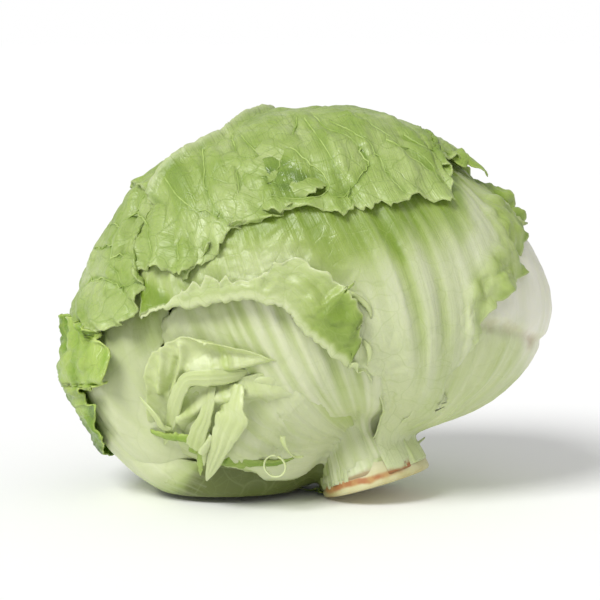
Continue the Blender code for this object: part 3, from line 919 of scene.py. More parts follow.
def flap_points(sheet, relief):
    """The folded-over left margin of the leaf: extra columns that roll outwards and back over it."""
    margin = sheet.flat[:, 0]
    tangent = np.gradient(margin, axis=0)
    for _ in range(12):
        tangent[1:-1] = 0.5 * tangent[1:-1] + 0.25 * (tangent[:-2] + tangent[2:])
    normal = unit(margin - HEAD_CENTRE)
    inward = unit(np.cross(unit(tangent), normal))
    inward *= np.sign((inward * (sheet.flat[:, 6] - margin)).sum(axis=-1, keepdims=True))
    width = np.interp(sheet.along[:, 0], FLAP_WIDTH[:, 0], FLAP_WIDTH[:, 1]) * MM
    width = np.where(sheet.s[:, 0] < 0.05, 0.4 * MM, width)
    run = sheet.from_base[:, 0]
    teeth = tooth_heights(run, Teeth(5.0 * MM, 4.6 * MM, 21)) * fade(width, 1 * MM, 4 * MM)
    reach = (width * (1 + 0.10 * wave_noise(run / (9 * MM), 3)) + teeth
             + math.pi * FLAP_ROLL * fade(width, 0, 3 * MM))
    part = np.linspace(0, 1, FLAP_COLUMNS)[None, :]
    travelled = reach[:, None] * part
    turned = np.minimum(travelled / FLAP_ROLL, math.pi)
    over = np.maximum(travelled - math.pi * FLAP_ROLL, 0)
    aside = np.where(travelled < math.pi * FLAP_ROLL, -FLAP_ROLL * np.sin(turned), over)
    spot = margin[:, None] + inward[:, None] * aside[..., None]
    out = unit(spot - HEAD_CENTRE)
    flat = HEAD_CENTRE + out * layer_distance(out, sheet.leaf.layer)[..., None]
    lift = FLAP_ROLL * (1 - np.cos(turned)) + 0.10 * over
    crumple = 1.8 * MM * noise(flat, 8 * MM, 31) + 1.2 * MM * noise(flat, 4 * MM, 32) + 1.4 * MM
    lift = lift + fade(over, 1 * MM, 9 * MM) * crumple
    lift = lift + relief[:, :1] * np.exp(-travelled / (5 * MM))
    return flat + out * lift[..., None], over, reach[:, None] - travelled, run[:, None] + 0 * over


def make_ribbed():
    sheet = Sheet(RIBBED, FINE_STEP, Teeth(5 * MM, 1.8 * MM, 5), 3 * MM)
    places = [(place + 0.012 * wave_noise(np.array(number * 0.7), 9), strength)
              for number, (place, strength) in enumerate(RIB_PLACES)]
    ribs = sheet.ribs(places, 4.2 * MM, 0.05) * (1 - 0.8 * fade(sheet.s, 0.5, 0.8))
    ribs *= 0.25 + 0.75 * fade(sheet.t, 0.2, 0.5)
    grown = fade(sheet.s, 0.10, 0.34)
    finest = 0.8 * sheet.streaks(1.5 * MM, 80 * MM, 51) * fade(sheet.t, 0.3, 0.6)
    fine = sheet.streaks(2.6 * MM, 150 * MM, 12) + finest
    relief = 2.1 * MM * ribs * grown + 1.3 * MM * sheet.lumps(26 * MM, 11) * fade(sheet.s, 0.05, 0.3)
    relief += (0.15 * MM + 0.45 * MM * grown) * fine
    relief -= 5.0 * MM * (1 - fade(sheet.from_left, 0, 20 * MM)) * (1 - fade(sheet.s, 0.22, 0.36)) * fade(
        sheet.s, 0.0, 0.1)
    relief -= 3.6 * MM * np.exp(-sheet.from_right / (7 * MM)) * (1 - fade(sheet.s, 0.25, 0.42))
    right_blade = fade(sheet.t, 0.81, 0.90) * fade(sheet.s, 0.28, 0.42)
    relief += right_blade * (1.2 * MM + 2.8 * MM * sheet.lumps(10 * MM, 13)) + sheet.ruffle(
        3.6 * MM, 12 * MM, 8 * MM, 4) * right_blade
    relief += right_blade * 1.4 * MM * sheet.streaks(5 * MM, 30 * MM, 17)
    left_blade = 1 - fade(sheet.t, 0.12, 0.42)
    relief += left_blade * 0.5 * MM * sheet.streaks(4 * MM, 50 * MM, 18)
    # A greener band with the white ribs faded out under the hood's margin: partly the leaf's own green, partly
    # painted shade cast by the hood.
    hood_shade_and_green = fade(sheet.along + 0.12 * np.abs(sheet.across), 82, 103) * (1 - fade(sheet.t, 0.74, 0.80))
    green = (0.30 - 0.25 * (1 - fade(sheet.s, 0.15, 0.5)) + 0.50 * right_blade
             + 1.05 * hood_shade_and_green * fade(sheet.t, 0.12, 0.32))
    green += 0.18 * fade(sheet.t, 0.36, 0.5) * (1 - right_blade) - 0.38 * left_blade * (1 - hood_shade_and_green)
    green += 0.5 * np.clip(-fine, -0.5, 0.8) * grown * fade(sheet.t, 0.15, 0.5)
    green += 0.4 * fade(sheet.along, 106, 118) * left_blade
    # Deeper green at the leaf's left tip, in the notch under the hood: partly the leaf's own green, partly
    # painted shade.
    green += 0.9 * fade(-sheet.across, 62, 67) * fade(sheet.along, 120, 126)
    green += right_blade * (0.35 * sheet.streaks(5 * MM, 30 * MM, 17) + 0.3 * np.exp(-sheet.edge / (5 * MM)))
    points = sheet.flat + sheet.normal * relief[..., None]
    rib_paint = np.clip(0.9 * ribs + 0.7 * fine * fade(sheet.t, 0.3, 0.6), 0, 1) * (0.3 + 0.38 * grown)
    values = leaf_values(sheet, white=rib_paint * (1 - 0.92 * hood_shade_and_green) * (1 - right_blade), green=green,
                         stain=base_stain(sheet), puff=0.25 + 1.2 * right_blade + 0.4 * left_blade)
    flap, over, margin, run = flap_points(sheet, relief)
    flap_green = 0.50 + 0.75 * fade(-run, -112 * MM, -86 * MM) - 0.5 * np.exp(-margin / (1.2 * MM))
    flap_values = dict(green=flap_green * fade(over, -1 * MM, 3 * MM), puff=1.3 * fade(over, 1 * MM, 5 * MM),
                       aside=over, grown=run, rim=margin / (10 * MM), white=0.0, stain=0.0)
    points = np.concatenate((flap[:, :0:-1], points), axis=1)
    joined = {}
    for key, value in values.items():
        value = np.broadcast_to(value, sheet.t.shape)
        flap_value = np.broadcast_to(flap_values.get(key, 0.0), flap.shape[:2])
        joined[key] = np.concatenate((flap_value[:, :0:-1], value), axis=1)
    leaf = leaf_piece("ribbed_leaf", sheet, relief, RIBBED_FINISH, blister=(9 * MM, 0.8 * MM),
                      wrinkle=(5 * MM, 0.8 * MM), points=points, **joined)
    dress(leaf, "ribbed_leaf", "ribbed_wrapper_leaf")


# ---------------------------------------------------------------- the pale wrapper leaves

RIGHT_WRAPPER = Leaf(90, 0.995, (-55, 50),
                     left=((45, -42), (80, -52), (112, -48)),
                     tip=((136, -32), (150, -10), (150, 10), (138, 30)),
                     right=((45, 42), (80, 50), (112, 46)))
BACK_WRAPPER = Leaf(150, 0.96, (-55, 55),
                    left=((45, -42), (85, -54), (120, -50)),
                    tip=((145, -34), (160, -10), (160, 10), (145, 34)),
                    right=((45, 42), (85, 54), (120, 50)))
LEFT_WRAPPER = Leaf(-75, 0.90, (-50, 45),
                    left=((40, -35), (80, -48), (115, -45)),
                    tip=((140, -25), (150, 5), (140, 30), (118, 40)),
                    right=((30, 12), (46, 8), (62, 12), (80, 20), (93, 22), (97, 27), (106, 29)))
PALE_WRAPPER = Leaf(-20, 0.925, (-40, 62),
                    left=((30, -15), (60, -27), (85, -34)),
                    tip=((101, -30), (106, -5), (102, 22), (94, 46)),
                    right=((30, 32), (55, 46), (76, 52)))
BACK_OUTER = Leaf(150, 1.135, (2, 35),
                  left=((40, 4), (75, -8)),
                  tip=((102, -12), (115, 0), (115, 12), (102, 28)),
                  right=((40, 26), (75, 34)))
BOTTOM = Leaf(-60, 1.10, (-55, 15),
              left=((35, -32), (60, -48), (80, -50)),
              tip=((95, -44), (98, -34), (94, -24), (87, -17)),
              right=((28, 2), (46, -1), (58, -5), (66, -10), (76, -14)))
LEFT_OUTER = Leaf(-100, 1.135, (-30, 10),
                  left=((40, -26), (75, -36), (98, -28)),
                  tip=((106, -12), (109, 4), (110, 18), (107, 32)),
                  right=((40, -19), (60, -21), (70, -16), (74, 4), (76, 22), (81, 26), (84, 32), (87, 26),
                         (90, 30), (89, 40), (98, 42)))


def make_right_wrapper():
    sheet = Sheet(RIGHT_WRAPPER, FINE_STEP, Teeth(6 * MM, 1.5 * MM, 6), 4 * MM)
    ribs = sheet.ribs([(place, 0.6) for place in (0.16, 0.28, 0.40, 0.5, 0.64, 0.78)], 5 * MM, 0.05)
    fine = sheet.streaks(4 * MM, 60 * MM, 19) + 0.6 * sheet.streaks(1.8 * MM, 30 * MM, 48)
    relief = 1.0 * MM * ribs + 1.5 * MM * sheet.lumps(22 * MM, 21) + 0.5 * MM * fine
    low = 1 - fade(sheet.along + 0.5 * (sheet.across + 20) + 5 * sheet.lumps(14 * MM, 20), 56, 70)
    crease = ((60, -34), (61, -24), (60, -14), (59, -4), (62, 6))
    relief += sheet.ridge(crease, -1.4 * MM, 2.2 * MM)
    scar = sheet.ridge(crease, 0.42, 6 * MM) * fade(-sheet.across, -4, 8)
    leaf = leaf_piece("right_wrapper", sheet, relief, PALE_FINISH, wrinkle=(8 * MM, 1.3 * MM),
                      white=(0.5 * ribs + 0.85) * (1 - low), green=0.05 + 0.12 * low + 0.25 * fine,
                      stain=scar)
    dress(leaf, "pale_leaf", "right_wrapper_leaf")


def make_back_wrapper():
    sheet = Sheet(BACK_WRAPPER, PLAIN_STEP, Teeth(6 * MM, 1.5 * MM, 7), 4 * MM)
    ribs = sheet.ribs([(place, 0.7) for place in (0.2, 0.32, 0.44, 0.56, 0.68, 0.8)], 5 * MM, 0.05)
    relief = 1.3 * MM * ribs + 1.0 * MM * sheet.lumps(25 * MM, 22)
    leaf = leaf_piece("back_wrapper", sheet, relief, PALE_FINISH,
                      white=0.8 * ribs, green=0.25 + 0.3 * fade(sheet.s, 0.5, 0.9))
    dress(leaf, "pale_leaf", "back_wrapper_leaf")


def make_left_wrapper():
    """The smooth cup round the torn heart, standing out on its lower left."""
    sheet = Sheet(LEFT_WRAPPER, FINE_STEP, Teeth(4 * MM, 2.6 * MM, 8), 2.5 * MM)
    rim = leaf_direction(LEFT_WRAPPER.azimuth, np.array(76.0), np.array(-11.0))
    away = np.degrees(np.arccos(np.clip(sheet.out @ rim, -1, 1)))
    upper = leaf_direction(LEFT_WRAPPER.azimuth, np.array(97.0), np.array(-2.0))
    away_upper = np.degrees(np.arccos(np.clip(sheet.out @ upper, -1, 1)))
    cup = 15.0 * MM * np.exp(-(away / 22) ** 4) + 9.5 * MM * np.exp(-(away_upper / 17) ** 4)
    relief = np.minimum(cup, 15.0 * MM) + 1.1 * MM * sheet.lumps(24 * MM, 23)
    shade = sheet.streaks(6 * MM, 50 * MM, 24) + 0.6 * sheet.streaks(2.0 * MM, 30 * MM, 47)
    relief += 0.8 * MM * shade
    ribs = sheet.ribs([(place, 0.5) for place in (0.46, 0.56, 0.66, 0.76, 0.86)], 4 * MM, 0.05)
    toothed = sheet.inside(((92, 14), (96, 30), (108, 34), (110, 16)), 5 * MM)
    green = 0.26 + 0.25 * fade(sheet.along, 92, 106) + 0.4 * toothed + 0.5 * shade
    leaf = leaf_piece("left_wrapper", sheet, relief, PALE_FINISH, wrinkle=(8 * MM, 0.7 * MM),
                      white=0.25 * ribs, green=green)
    dress(leaf, "pale_leaf", "left_wrapper_leaf")


def make_pale_wrapper():
    sheet = Sheet(PALE_WRAPPER, FINE_STEP, Teeth(5 * MM, 1.5 * MM, 9), 3 * MM)
    ribs = sheet.ribs(((0.2, 0.4), (0.3, 0.5), (0.39, 0.6), (0.47, 0.5), (0.55, 0.6), (0.63, 0.5),
                       (0.72, 0.6), (0.82, 1.1), (0.90, 0.6)), 4.5 * MM, 0.05)
    fine = sheet.streaks(3.5 * MM, 60 * MM, 26) + 0.7 * sheet.streaks(1.7 * MM, 25 * MM, 46)
    relief = 1.5 * MM * ribs * fade(sheet.s, 0.05, 0.4) + 1.8 * MM * sheet.lumps(18 * MM, 25)
    relief += 0.7 * MM * fine * fade(sheet.s, 0.2, 0.55) - 3.5 * MM * np.exp(-sheet.from_left / (8 * MM))
    relief += 1.6 * MM * sheet.ribs(((0.82, 1.0),), 7 * MM, 0.07)
    green = 0.20 + 0.35 * fade(sheet.t, 0.5, 0.68) * (1 - fade(sheet.t, 0.74, 0.82))
    green += (0.25 + 0.45 * fade(sheet.s, 0.2, 0.6)) * np.clip(-fine, 0, 1)
    leaf = leaf_piece("pale_wrapper", sheet, relief, PALE_FINISH, wrinkle=(7 * MM, 1.3 * MM),
                      white=np.clip(0.3 * ribs + 0.25 * fine, 0, 1), green=green,
                      stain=base_stain(sheet))
    dress(leaf, "pale_leaf", "pale_wrapper_leaf")


def make_bottom():
    """The leaf the head lies against: a pale lip round the cup, and an underside painted dark olive as shade.
    """
    sheet = Sheet(BOTTOM, FINE_STEP, Teeth(8 * MM, 1.2 * MM, 10), 4 * MM)
    lip = np.exp(-sheet.from_right / (9 * MM)) + np.exp(-sheet.from_tip / (12 * MM))
    ribs = sheet.ribs([(place, 0.6) for place in (0.3, 0.42, 0.54, 0.66, 0.78, 0.9)], 5 * MM, 0.05)
    relief = 0.8 * MM * ribs + 1.0 * MM * sheet.lumps(24 * MM, 27) - 3.2 * MM * np.clip(lip, 0, 1)
    relief -= 6.0 * MM * np.exp(-sheet.from_right / (14 * MM)) * (1 - fade(sheet.along, 66, 80))
    # The underside is painted dark olive: painted shade where the head lies on the floor.
    painted_underside_shade = 1 - fade(sheet.along + 4 * sheet.lumps(14 * MM, 30), 50, 66)
    green = 0.16 + 1.5 * painted_underside_shade + 0.3 * sheet.streaks(5 * MM, 70 * MM, 44)
    leaf = leaf_piece("bottom", sheet, relief, PALE_FINISH, wrinkle=(8 * MM, 0.7 * MM),
                      white=0.35 * ribs * (1 - painted_underside_shade), green=green)
    dress(leaf, "pale_leaf", "bottom_leaf")


def make_left_outer():
    sheet = Sheet(LEFT_OUTER, FINE_STEP, Teeth(6 * MM, 2.0 * MM, 12), 3 * MM)
    relief = 2.0 * MM * sheet.lumps(12 * MM, 28)
    relief += sheet.ruffle(3.0 * MM, 12 * MM, 9 * MM, 29) * fade(sheet.along, 80, 92)
    relief = relief * fade(sheet.along, 60, 80) - 4.0 * MM * (1 - fade(sheet.along, 66, 80))
    relief -= 6.5 * MM * fade(sheet.along, 95, 104) * fade(sheet.across, 6, 20)
    green = 0.80 + 0.45 * (1 - fade(sheet.along, 79, 86)) - 0.4 * np.exp(-sheet.edge / (1.5 * MM))
    # Besides the streaks, the last term darkens the leaf's left side to deeper green: painted shade.
    green += 0.5 * sheet.streaks(5 * MM, 30 * MM, 49) + 0.5 * (1 - fade(sheet.across, 8, 24))
    leaf = leaf_piece("left_outer", sheet, relief, BRIGHT_FINISH, blister=(9 * MM, 1.2 * MM),
                      wrinkle=(5 * MM, 1.4 * MM), green=green)
    dress(leaf, "outer_leaf", "left_outer_leaf")


def make_back_outer():
    sheet = Sheet(BACK_OUTER, PLAIN_STEP, Teeth(6 * MM, 3.0 * MM, 13), 4 * MM)
    ribs = sheet.ribs([(place, 0.8) for place in (0.25, 0.5, 0.75)], 4 * MM, 0.05)
    relief = 1.2 * MM * ribs * (1 - fade(sheet.s, 0.5, 0.9)) + sheet.ruffle(2.4 * MM, 14 * MM, 9 * MM, 30)
    leaf = leaf_piece("back_outer", sheet, relief, OUTER, blister=(12 * MM, 1.0 * MM),
                      wrinkle=(6 * MM, 1.2 * MM), white=0.8 * ribs * (1 - fade(sheet.s, 0.4, 0.8)),
                      green=0.75 * fade(sheet.along, 20, 80))
    dress(leaf, "outer_leaf", "back_outer_leaf")


# ---------------------------------------------------------------- the torn leaves at the open heart

TORN_UPPER = Leaf(-40, 0.97, (-20, 55),
                  left=((30, -14), (58, -24)),
                  tip=((74, -24), (82, -19), (90, -13), (92, -6), (92, 1), (88, 7)),
                  right=((27, 26), (42, 31), (55, 29), (66, 25), (76, 20), (84, 12)))
TORN_MIDDLE = Leaf(-45, 0.995, (-25, 50),
                   left=((22, -8), (40, -12), (55, -10)),
                   tip=((66, -12), (74, -7), (77, 1), (75, 6)),
                   right=((26, 22), (40, 29), (55, 29), (66, 24), (72, 14)))
TORN_LOWER = Leaf(-55, 1.03, (-35, 45),
                  left=((20, -10), (33, -6), (44, 0)),
                  tip=((56, -4), (66, -2), (73, 4), (70, 13)),
                  right=((22, 20), (38, 26), (52, 26), (64, 20)))
HEART_GAP = ((79, -7), (78, -4), (76, -1), (74, 2), (73, 9), (70, 18), (64, 25))


def sink_right(sheet, depth):
    """Lowers a torn leaf's right side gently into the leaf beneath it, near the stem."""
    return -depth * (1 - fade(sheet.from_right, -2 * MM, 30 * MM)) * (1 - fade(sheet.along, 54, 88))


def torn_ribs(sheet, places, end):
    """Soft ribs that run from the stem and die away, and finer lines between them."""
    ribs = sheet.ribs([(place, 0.8) for place in places], 2.6 * MM, 0.05)
    return ribs * (1 - fade(sheet.s, end - 0.3, end)), sheet.streaks(2.4 * MM, 45 * MM, 45)


def torn_piece(name, node, sheet, relief, wrinkle_height, white, green):
    leaf = leaf_piece(name, sheet, relief, TORN_FINISH, wrinkle=(4 * MM, wrinkle_height),
                      thickness=TORN_THICKNESS, white=white, green=green, puff=fade(sheet.s, 0.3, 0.6))
    dress(leaf, "torn_leaf", node)


def make_torn_upper():
    sheet = Sheet(TORN_UPPER, 0.8 * MM, Teeth(4 * MM, 1.0 * MM, 14), 2 * MM)
    lip = np.exp(-sheet.from_tip / (4 * MM))
    lip = lip + 0.7 * np.exp(-sheet.from_right / (3 * MM)) * fade(sheet.along, 62, 76)
    relief = 3.0 * MM * lip + 1.4 * MM * sheet.lumps(12 * MM, 33) * fade(sheet.s, 0.2, 0.6)
    relief += sheet.ridge(((86, 3), (80, 13), (72, 20)), -1.6 * MM, 3.0 * MM)
    relief += sheet.ridge(((82, -2), (79, 3), (77, 10), (72, 19)), 3.0 * MM, 2.6 * MM)
    relief += sheet.ridge(HEART_GAP, -7.0 * MM, 2.4 * MM)
    relief += sheet.ridge(((90, -1), (86, -3), (81, -8), (78, -13)), 2.8 * MM, 1.4 * MM)
    relief += sheet.ridge(((87, -5), (83, -9), (79, -14)), -1.8 * MM, 1.0 * MM)
    relief += sheet.ridge(((91, -7), (86, -11), (80, -16)), 2.0 * MM, 1.3 * MM)
    ribs, fine = torn_ribs(sheet, (0.3, 0.4, 0.5, 0.6, 0.7, 0.8), 0.75)
    relief += 1.3 * MM * ribs + 0.5 * MM * fine + sink_right(sheet, 4.0 * MM)
    # Deeper green along the heart's gap: painted shade in the groove.
    deep = sheet.ridge(HEART_GAP, 1.0, 2.4 * MM)
    green = 0.20 + 0.6 * deep + 0.3 * sheet.lumps(9 * MM, 34) + 0.4 * fine
    torn_piece("torn_upper", "torn_leaf_upper", sheet, relief, 1.1 * MM, 0.5 * ribs, green)


def make_torn_middle():
    """A narrow fold of leaf that stands out over the lower torn leaf."""
    sheet = Sheet(TORN_MIDDLE, 0.8 * MM, Teeth(4 * MM, 1.0 * MM, 15), 2 * MM)
    fold = ((71, -8), (71, -3), (71, 4), (69, 9), (66, 14), (58, 21), (46, 25))
    relief = sheet.ridge(fold, 4.2 * MM, 3.0 * MM) * fade(sheet.along, 46, 68)
    relief += 1.0 * MM * sheet.lumps(9 * MM, 35)
    relief += 1.2 * MM * np.exp(-sheet.from_tip / (2.0 * MM))
    ribs, fine = torn_ribs(sheet, (0.2, 0.35, 0.47, 0.59, 0.71, 0.83), 0.7)
    relief += 1.3 * MM * ribs + 0.5 * MM * fine + sink_right(sheet, 5.6 * MM)
    green = 0.14 + 0.3 * sheet.lumps(9 * MM, 36) + 0.4 * fine
    torn_piece("torn_middle", "torn_leaf_middle", sheet, relief, 1.0 * MM, 0.5 * ribs, green)


def make_torn_lower():
    sheet = Sheet(TORN_LOWER, 0.8 * MM, Teeth(4 * MM, 1.4 * MM, 16), 2 * MM)
    relief = -2.0 * MM * np.exp(-sheet.from_tip / (3.5 * MM)) + 1.0 * MM * sheet.lumps(10 * MM, 37)
    ribs, fine = torn_ribs(sheet, (0.12, 0.26, 0.40, 0.53, 0.66, 0.78, 0.9), 0.9)
    relief += 1.5 * MM * ribs + 0.5 * MM * fine + sink_right(sheet, 7.6 * MM)
    green = 0.16 + 0.3 * (1 - fade(sheet.from_left, 0, 4 * MM)) + 0.5 * fine
    torn_piece("torn_lower", "torn_leaf_lower", sheet, relief, 1.1 * MM, 0.55 * ribs, green)


# Torn strips: each place is (along, across, lift in mm, half width in mm, twist in degrees), from a strip's
# root to its end.
Strip = namedtuple("Strip", "name azimuth layer places bow green finish")
STRIPS = (
    Strip("strip_hanging", -40, 0.97,
          ((70, 13, -8.0, 0.6, 20), (74, 9, 0.5, 2.6, 15), (77, 5, 4.2, 3.4, 10), (78, 3, 4.8, 3.3, 5),
           (80, -2, 5.4, 2.9, 0), (77, -8, 5.2, 3.0, -10), (73, -13, 4.6, 2.7, -10), (69, -18, 4.0, 2.0, 0),
           (65, -24, 3.2, 0.3, 0)), 0.25, 0.25, TORN_FINISH),
    Strip("strip_pointed", -55, 1.03,
          ((70, 22, -3.5, 4.0, 20), (66, 19, 1.0, 6.6, 20), (63, 17, 2.8, 6.8, 12), (61, 13, 3.6, 5.6, 5),
           (59, 9, 3.9, 4.3, 0), (56, 2, 3.8, 3.0, 0), (54, -3, 3.6, 1.9, 0), (52, -8, 3.2, 0.3, 0)),
          0.18, 0.14, TORN_FINISH),
    Strip("strip_bright", -55, 1.03,
          ((74, 16, -3.0, 1.4, 0), (70, 13, 0.6, 2.4, 0), (67, 9, 2.0, 2.8, -10), (65, 5, 2.8, 3.4, -8),
           (62, 0, 2.4, 4.0, 0)), 0.15, 0.30, TORN_FINISH),
    Strip("strip_curled_end", -55, 1.03,
          ((62, 7, 1.0, 2.0, 0), (61, 4, 2.2, 2.2, 0), (60, 1, 3.0, 2.0, 20)), 0.9, 0.10, TORN_FINISH),
    Strip("flake_left", -55, 1.03,
          ((82, -4, 0.5, 0.4, 0), (79, -3, 1.2, 1.8, 10), (75, -2, 1.8, 3.2, 15), (72, -3, 1.4, 2.6, 10),
           (70, -2, 0.5, 0.8, 0)), 0.4, 0.40, TORN_FINISH),
    Strip("tip_low_green", -55, 1.03,
          ((60, 2, -0.5, 2.2, 0), (59, -2, 0.8, 1.8, 0), (56, -6, 1.4, 1.0, 0), (54, -9, 1.4, 0.2, 0)),
          0.4, 0.80, BRIGHT_FINISH),
    Strip("tip_low_pale", -55, 1.03,
          ((61, 3, 0.5, 1.4, 0), (58, -1, 1.8, 1.3, 0), (56, -4, 1.8, 0.2, 0)), 0.4, 0.30, TORN_FINISH),
    Strip("tuft_left", -55, 1.03,
          ((72, -10, -1.5, 1.4, 0), (69, -5, 0.2, 2.4, 10), (65, 0, 0.6, 2.0, -10), (62, 4, -0.5, 1.2, 0)),
          0.5, 0.85, BRIGHT_FINISH),
    Strip("tuft_low", -55, 1.03,
          ((62, -5, -2.0, 2.4, 0), (57, -2, -1.0, 3.2, 10), (51, 0, -0.5, 3.6, -8), (45, 4, -0.2, 3.4, 8),
           (39, 6, 0.0, 2.6, 0), (34, 8, -1.0, 1.0, 0)), 0.4, 0.85, BRIGHT_FINISH),
    Strip("curl_thin", -55, 1.03,
          ((45, 19, 0.6, 1.1, 0), (43, 17, 1.6, 1.2, 20), (40, 15, 2.2, 1.2, 40), (36, 13, 2.6, 1.1, 50),
           (33, 13, 2.2, 0.5, 60)), 0.5, 0.15, TORN_FINISH),
    Strip("frill_upper", 30, 1.03,
          ((86, -14, 1.0, 0.8, 0), (82, -11, 2.0, 1.2, 20), (78, -9, 1.6, 1.0, 0), (75, -9, 0.8, 0.3, 0)),
          0.6, 0.35, TORN_FINISH),
    Strip("frill_lower", 30, 1.03,
          ((69, -13, 0.6, 0.8, 0), (66, -12, 1.6, 1.2, 20), (63, -12, 1.4, 1.0, 0), (60, -13, 0.6, 0.3, 0)),
          0.6, 0.30, TORN_FINISH),
    Strip("scrap_behind_hood", 180, 1.06,
          ((208, -62, 0.0, 5.0, 0), (212, -66, 3.0, 5.0, 15), (208, -71, 3.4, 4.0, -15),
           (203, -75, 3.0, 2.2, 0)), 0.3, 0.70, BRIGHT_FINISH),
)
STRIP_STEP = 0.6 * MM
STRIP_THICKNESS = 0.3 * MM
RING_PLACE = (41, 10)
RING_RADIUS = 4.2 * MM
RING_HALF_WIDTH = 1.1 * MM
RING_LIFT = 5.0 * MM
RING_START = math.radians(70)
RING_END = math.radians(70 + 385)


def make_strip(strip, number):
    places = np.array(strip.places, dtype=float)
    rough = layer_points(leaf_direction(strip.azimuth, places[:, 0], places[:, 1]), strip.layer)
    length = np.linalg.norm(np.diff(rough, axis=0), axis=1).sum()
    rows = max(10, int(length / STRIP_STEP))
    columns = max(7, int(2 * places[:, 3].max() * MM / STRIP_STEP))
    line = smooth_line(places, rows)
    out = leaf_direction(strip.azimuth, line[:, 0], line[:, 1])
    middle = layer_points(out, strip.layer) + out * line[:, 2:3] * MM
    tangent = unit(np.gradient(middle, axis=0))
    side = unit(np.cross(out, tangent))
    out = unit(np.cross(tangent, side))
    turn = np.radians(line[:, 4:5])
    side, out = side * np.cos(turn) + out * np.sin(turn), out * np.cos(turn) - side * np.sin(turn)
    u = np.linspace(-1, 1, columns)[None, :]
    run = np.linspace(0, length, rows)[:, None]
    half = line[:, 3:4] * MM
    torn = 0.12 + 0.55 * fade(strip.green, 0.5, 0.8)
    sides = np.stack(np.broadcast_arrays(run / (2.0 * MM), np.sign(u), 0.5), axis=-1)
    ragged = 1 + torn * noise(sides, 1.0, 50 + number) * fade(run, 0, 3 * MM)
    pleat = 0.16 * MM * np.sin(u * 3.2 * math.pi + wave_noise(run / (6 * MM), number))
    pleat = pleat * fade(half, 1 * MM, 3 * MM)
    points = (middle[:, None] + side[:, None] * (u * half * ragged)[..., None]
              + out[:, None] * (strip.bow * half * (1 - u ** 2) + pleat)[..., None])
    green = strip.green + 0.15 * wave_noise(run / (7 * MM), number + 3) + 0 * u
    values = dict(green=green, white=0.0, puff=0.0, aside=u * half, grown=run + 0 * u,
                  rim=half * (1 - np.abs(u)) / (10 * MM))
    piece = leaf_piece(strip.name, None, None, strip.finish, points=points, thickness=STRIP_THICKNESS,
                       **values)
    dress(piece, "torn_leaf")


def make_ring():
    """A thin torn strip curled into an open ring."""
    out = leaf_direction(-55, np.array(float(RING_PLACE[0])), np.array(float(RING_PLACE[1])))
    centre = layer_points(out[None], 1.03)[0] + out * RING_LIFT
    towards = unit(np.array((-0.10, -1.0, 0.12)))
    aside = unit(np.cross(towards, (0, 0, 1)))
    up = np.cross(aside, towards)
    angle = np.linspace(RING_START, RING_END, 90)[:, None]
    u = np.linspace(-1, 1, 7)[None, :]
    radius = RING_RADIUS * (1 + 0.05 * np.sin(angle * 2) + 0.10 * (angle - angle[0]) / 7)
    drift = 1.6 * MM * (angle - angle[0]) / 7
    points = (centre + aside * (radius * np.cos(angle))[..., None] + up * (radius * np.sin(angle))[..., None]
              + towards * (drift + u * RING_HALF_WIDTH)[..., None])
    values = dict(green=0.05, white=0.3, puff=0.0, aside=u * RING_HALF_WIDTH + 0 * angle,
                  grown=radius * angle + 0 * u, rim=0.3)
    dress(leaf_piece("strip_ring", None, None, TORN_FINISH, points=points, **values), "torn_leaf")


# ---------------------------------------------------------------- the closed heart and the stem


def heart_leaf(number, layer):
    half, reach = HEART_HALF_WIDTH, HEART_REACH
    side = ((45, 0.62 * half), (80, 0.93 * half), (115, 0.95 * half))
    tip_side = ((0.86 * reach, 0.72 * half), (reach, 0.28 * half))
    return Leaf(HEART_FIRST_AZIMUTH + number * GOLDEN_ANGLE, layer, (-60, 60),
                left=tuple((along, -across) for along, across in side),
                tip=tuple((along, -across) for along, across in tip_side) + tip_side[::-1],
                right=side)


def make_heart_leaf(number, layer):
    sheet = Sheet(heart_leaf(number, layer), 2.2 * MM, Teeth(7 * MM, 2 * MM, 60 + number), 5 * MM)
    ribs = sheet.ribs([(place, 0.8) for place in (0.2, 0.35, 0.5, 0.65, 0.8)], 4 * MM, 0.05)
    relief = 0.6 * MM * ribs + 0.5 * MM * sheet.lumps(18 * MM, 61 + number)
    leaf = leaf_piece(f"heart_leaf_fine_{number + 1}", sheet, relief, TORN_FINISH, wrinkle=(8 * MM, 0.6 * MM),
                      thickness=TORN_THICKNESS, white=0.7 * ribs, green=0.2 + 0.2 * fade(sheet.s, 0.6, 1.0))
    dress(leaf, "heart_leaf", f"heart_leaf_{number + 1}")


STEM_TOP = 14 * MM
STEM_ROWS = 90
STEM_COLUMNS = 150
STEM_CUT_ROWS = 26
STEM_RIM = 20.5 * MM


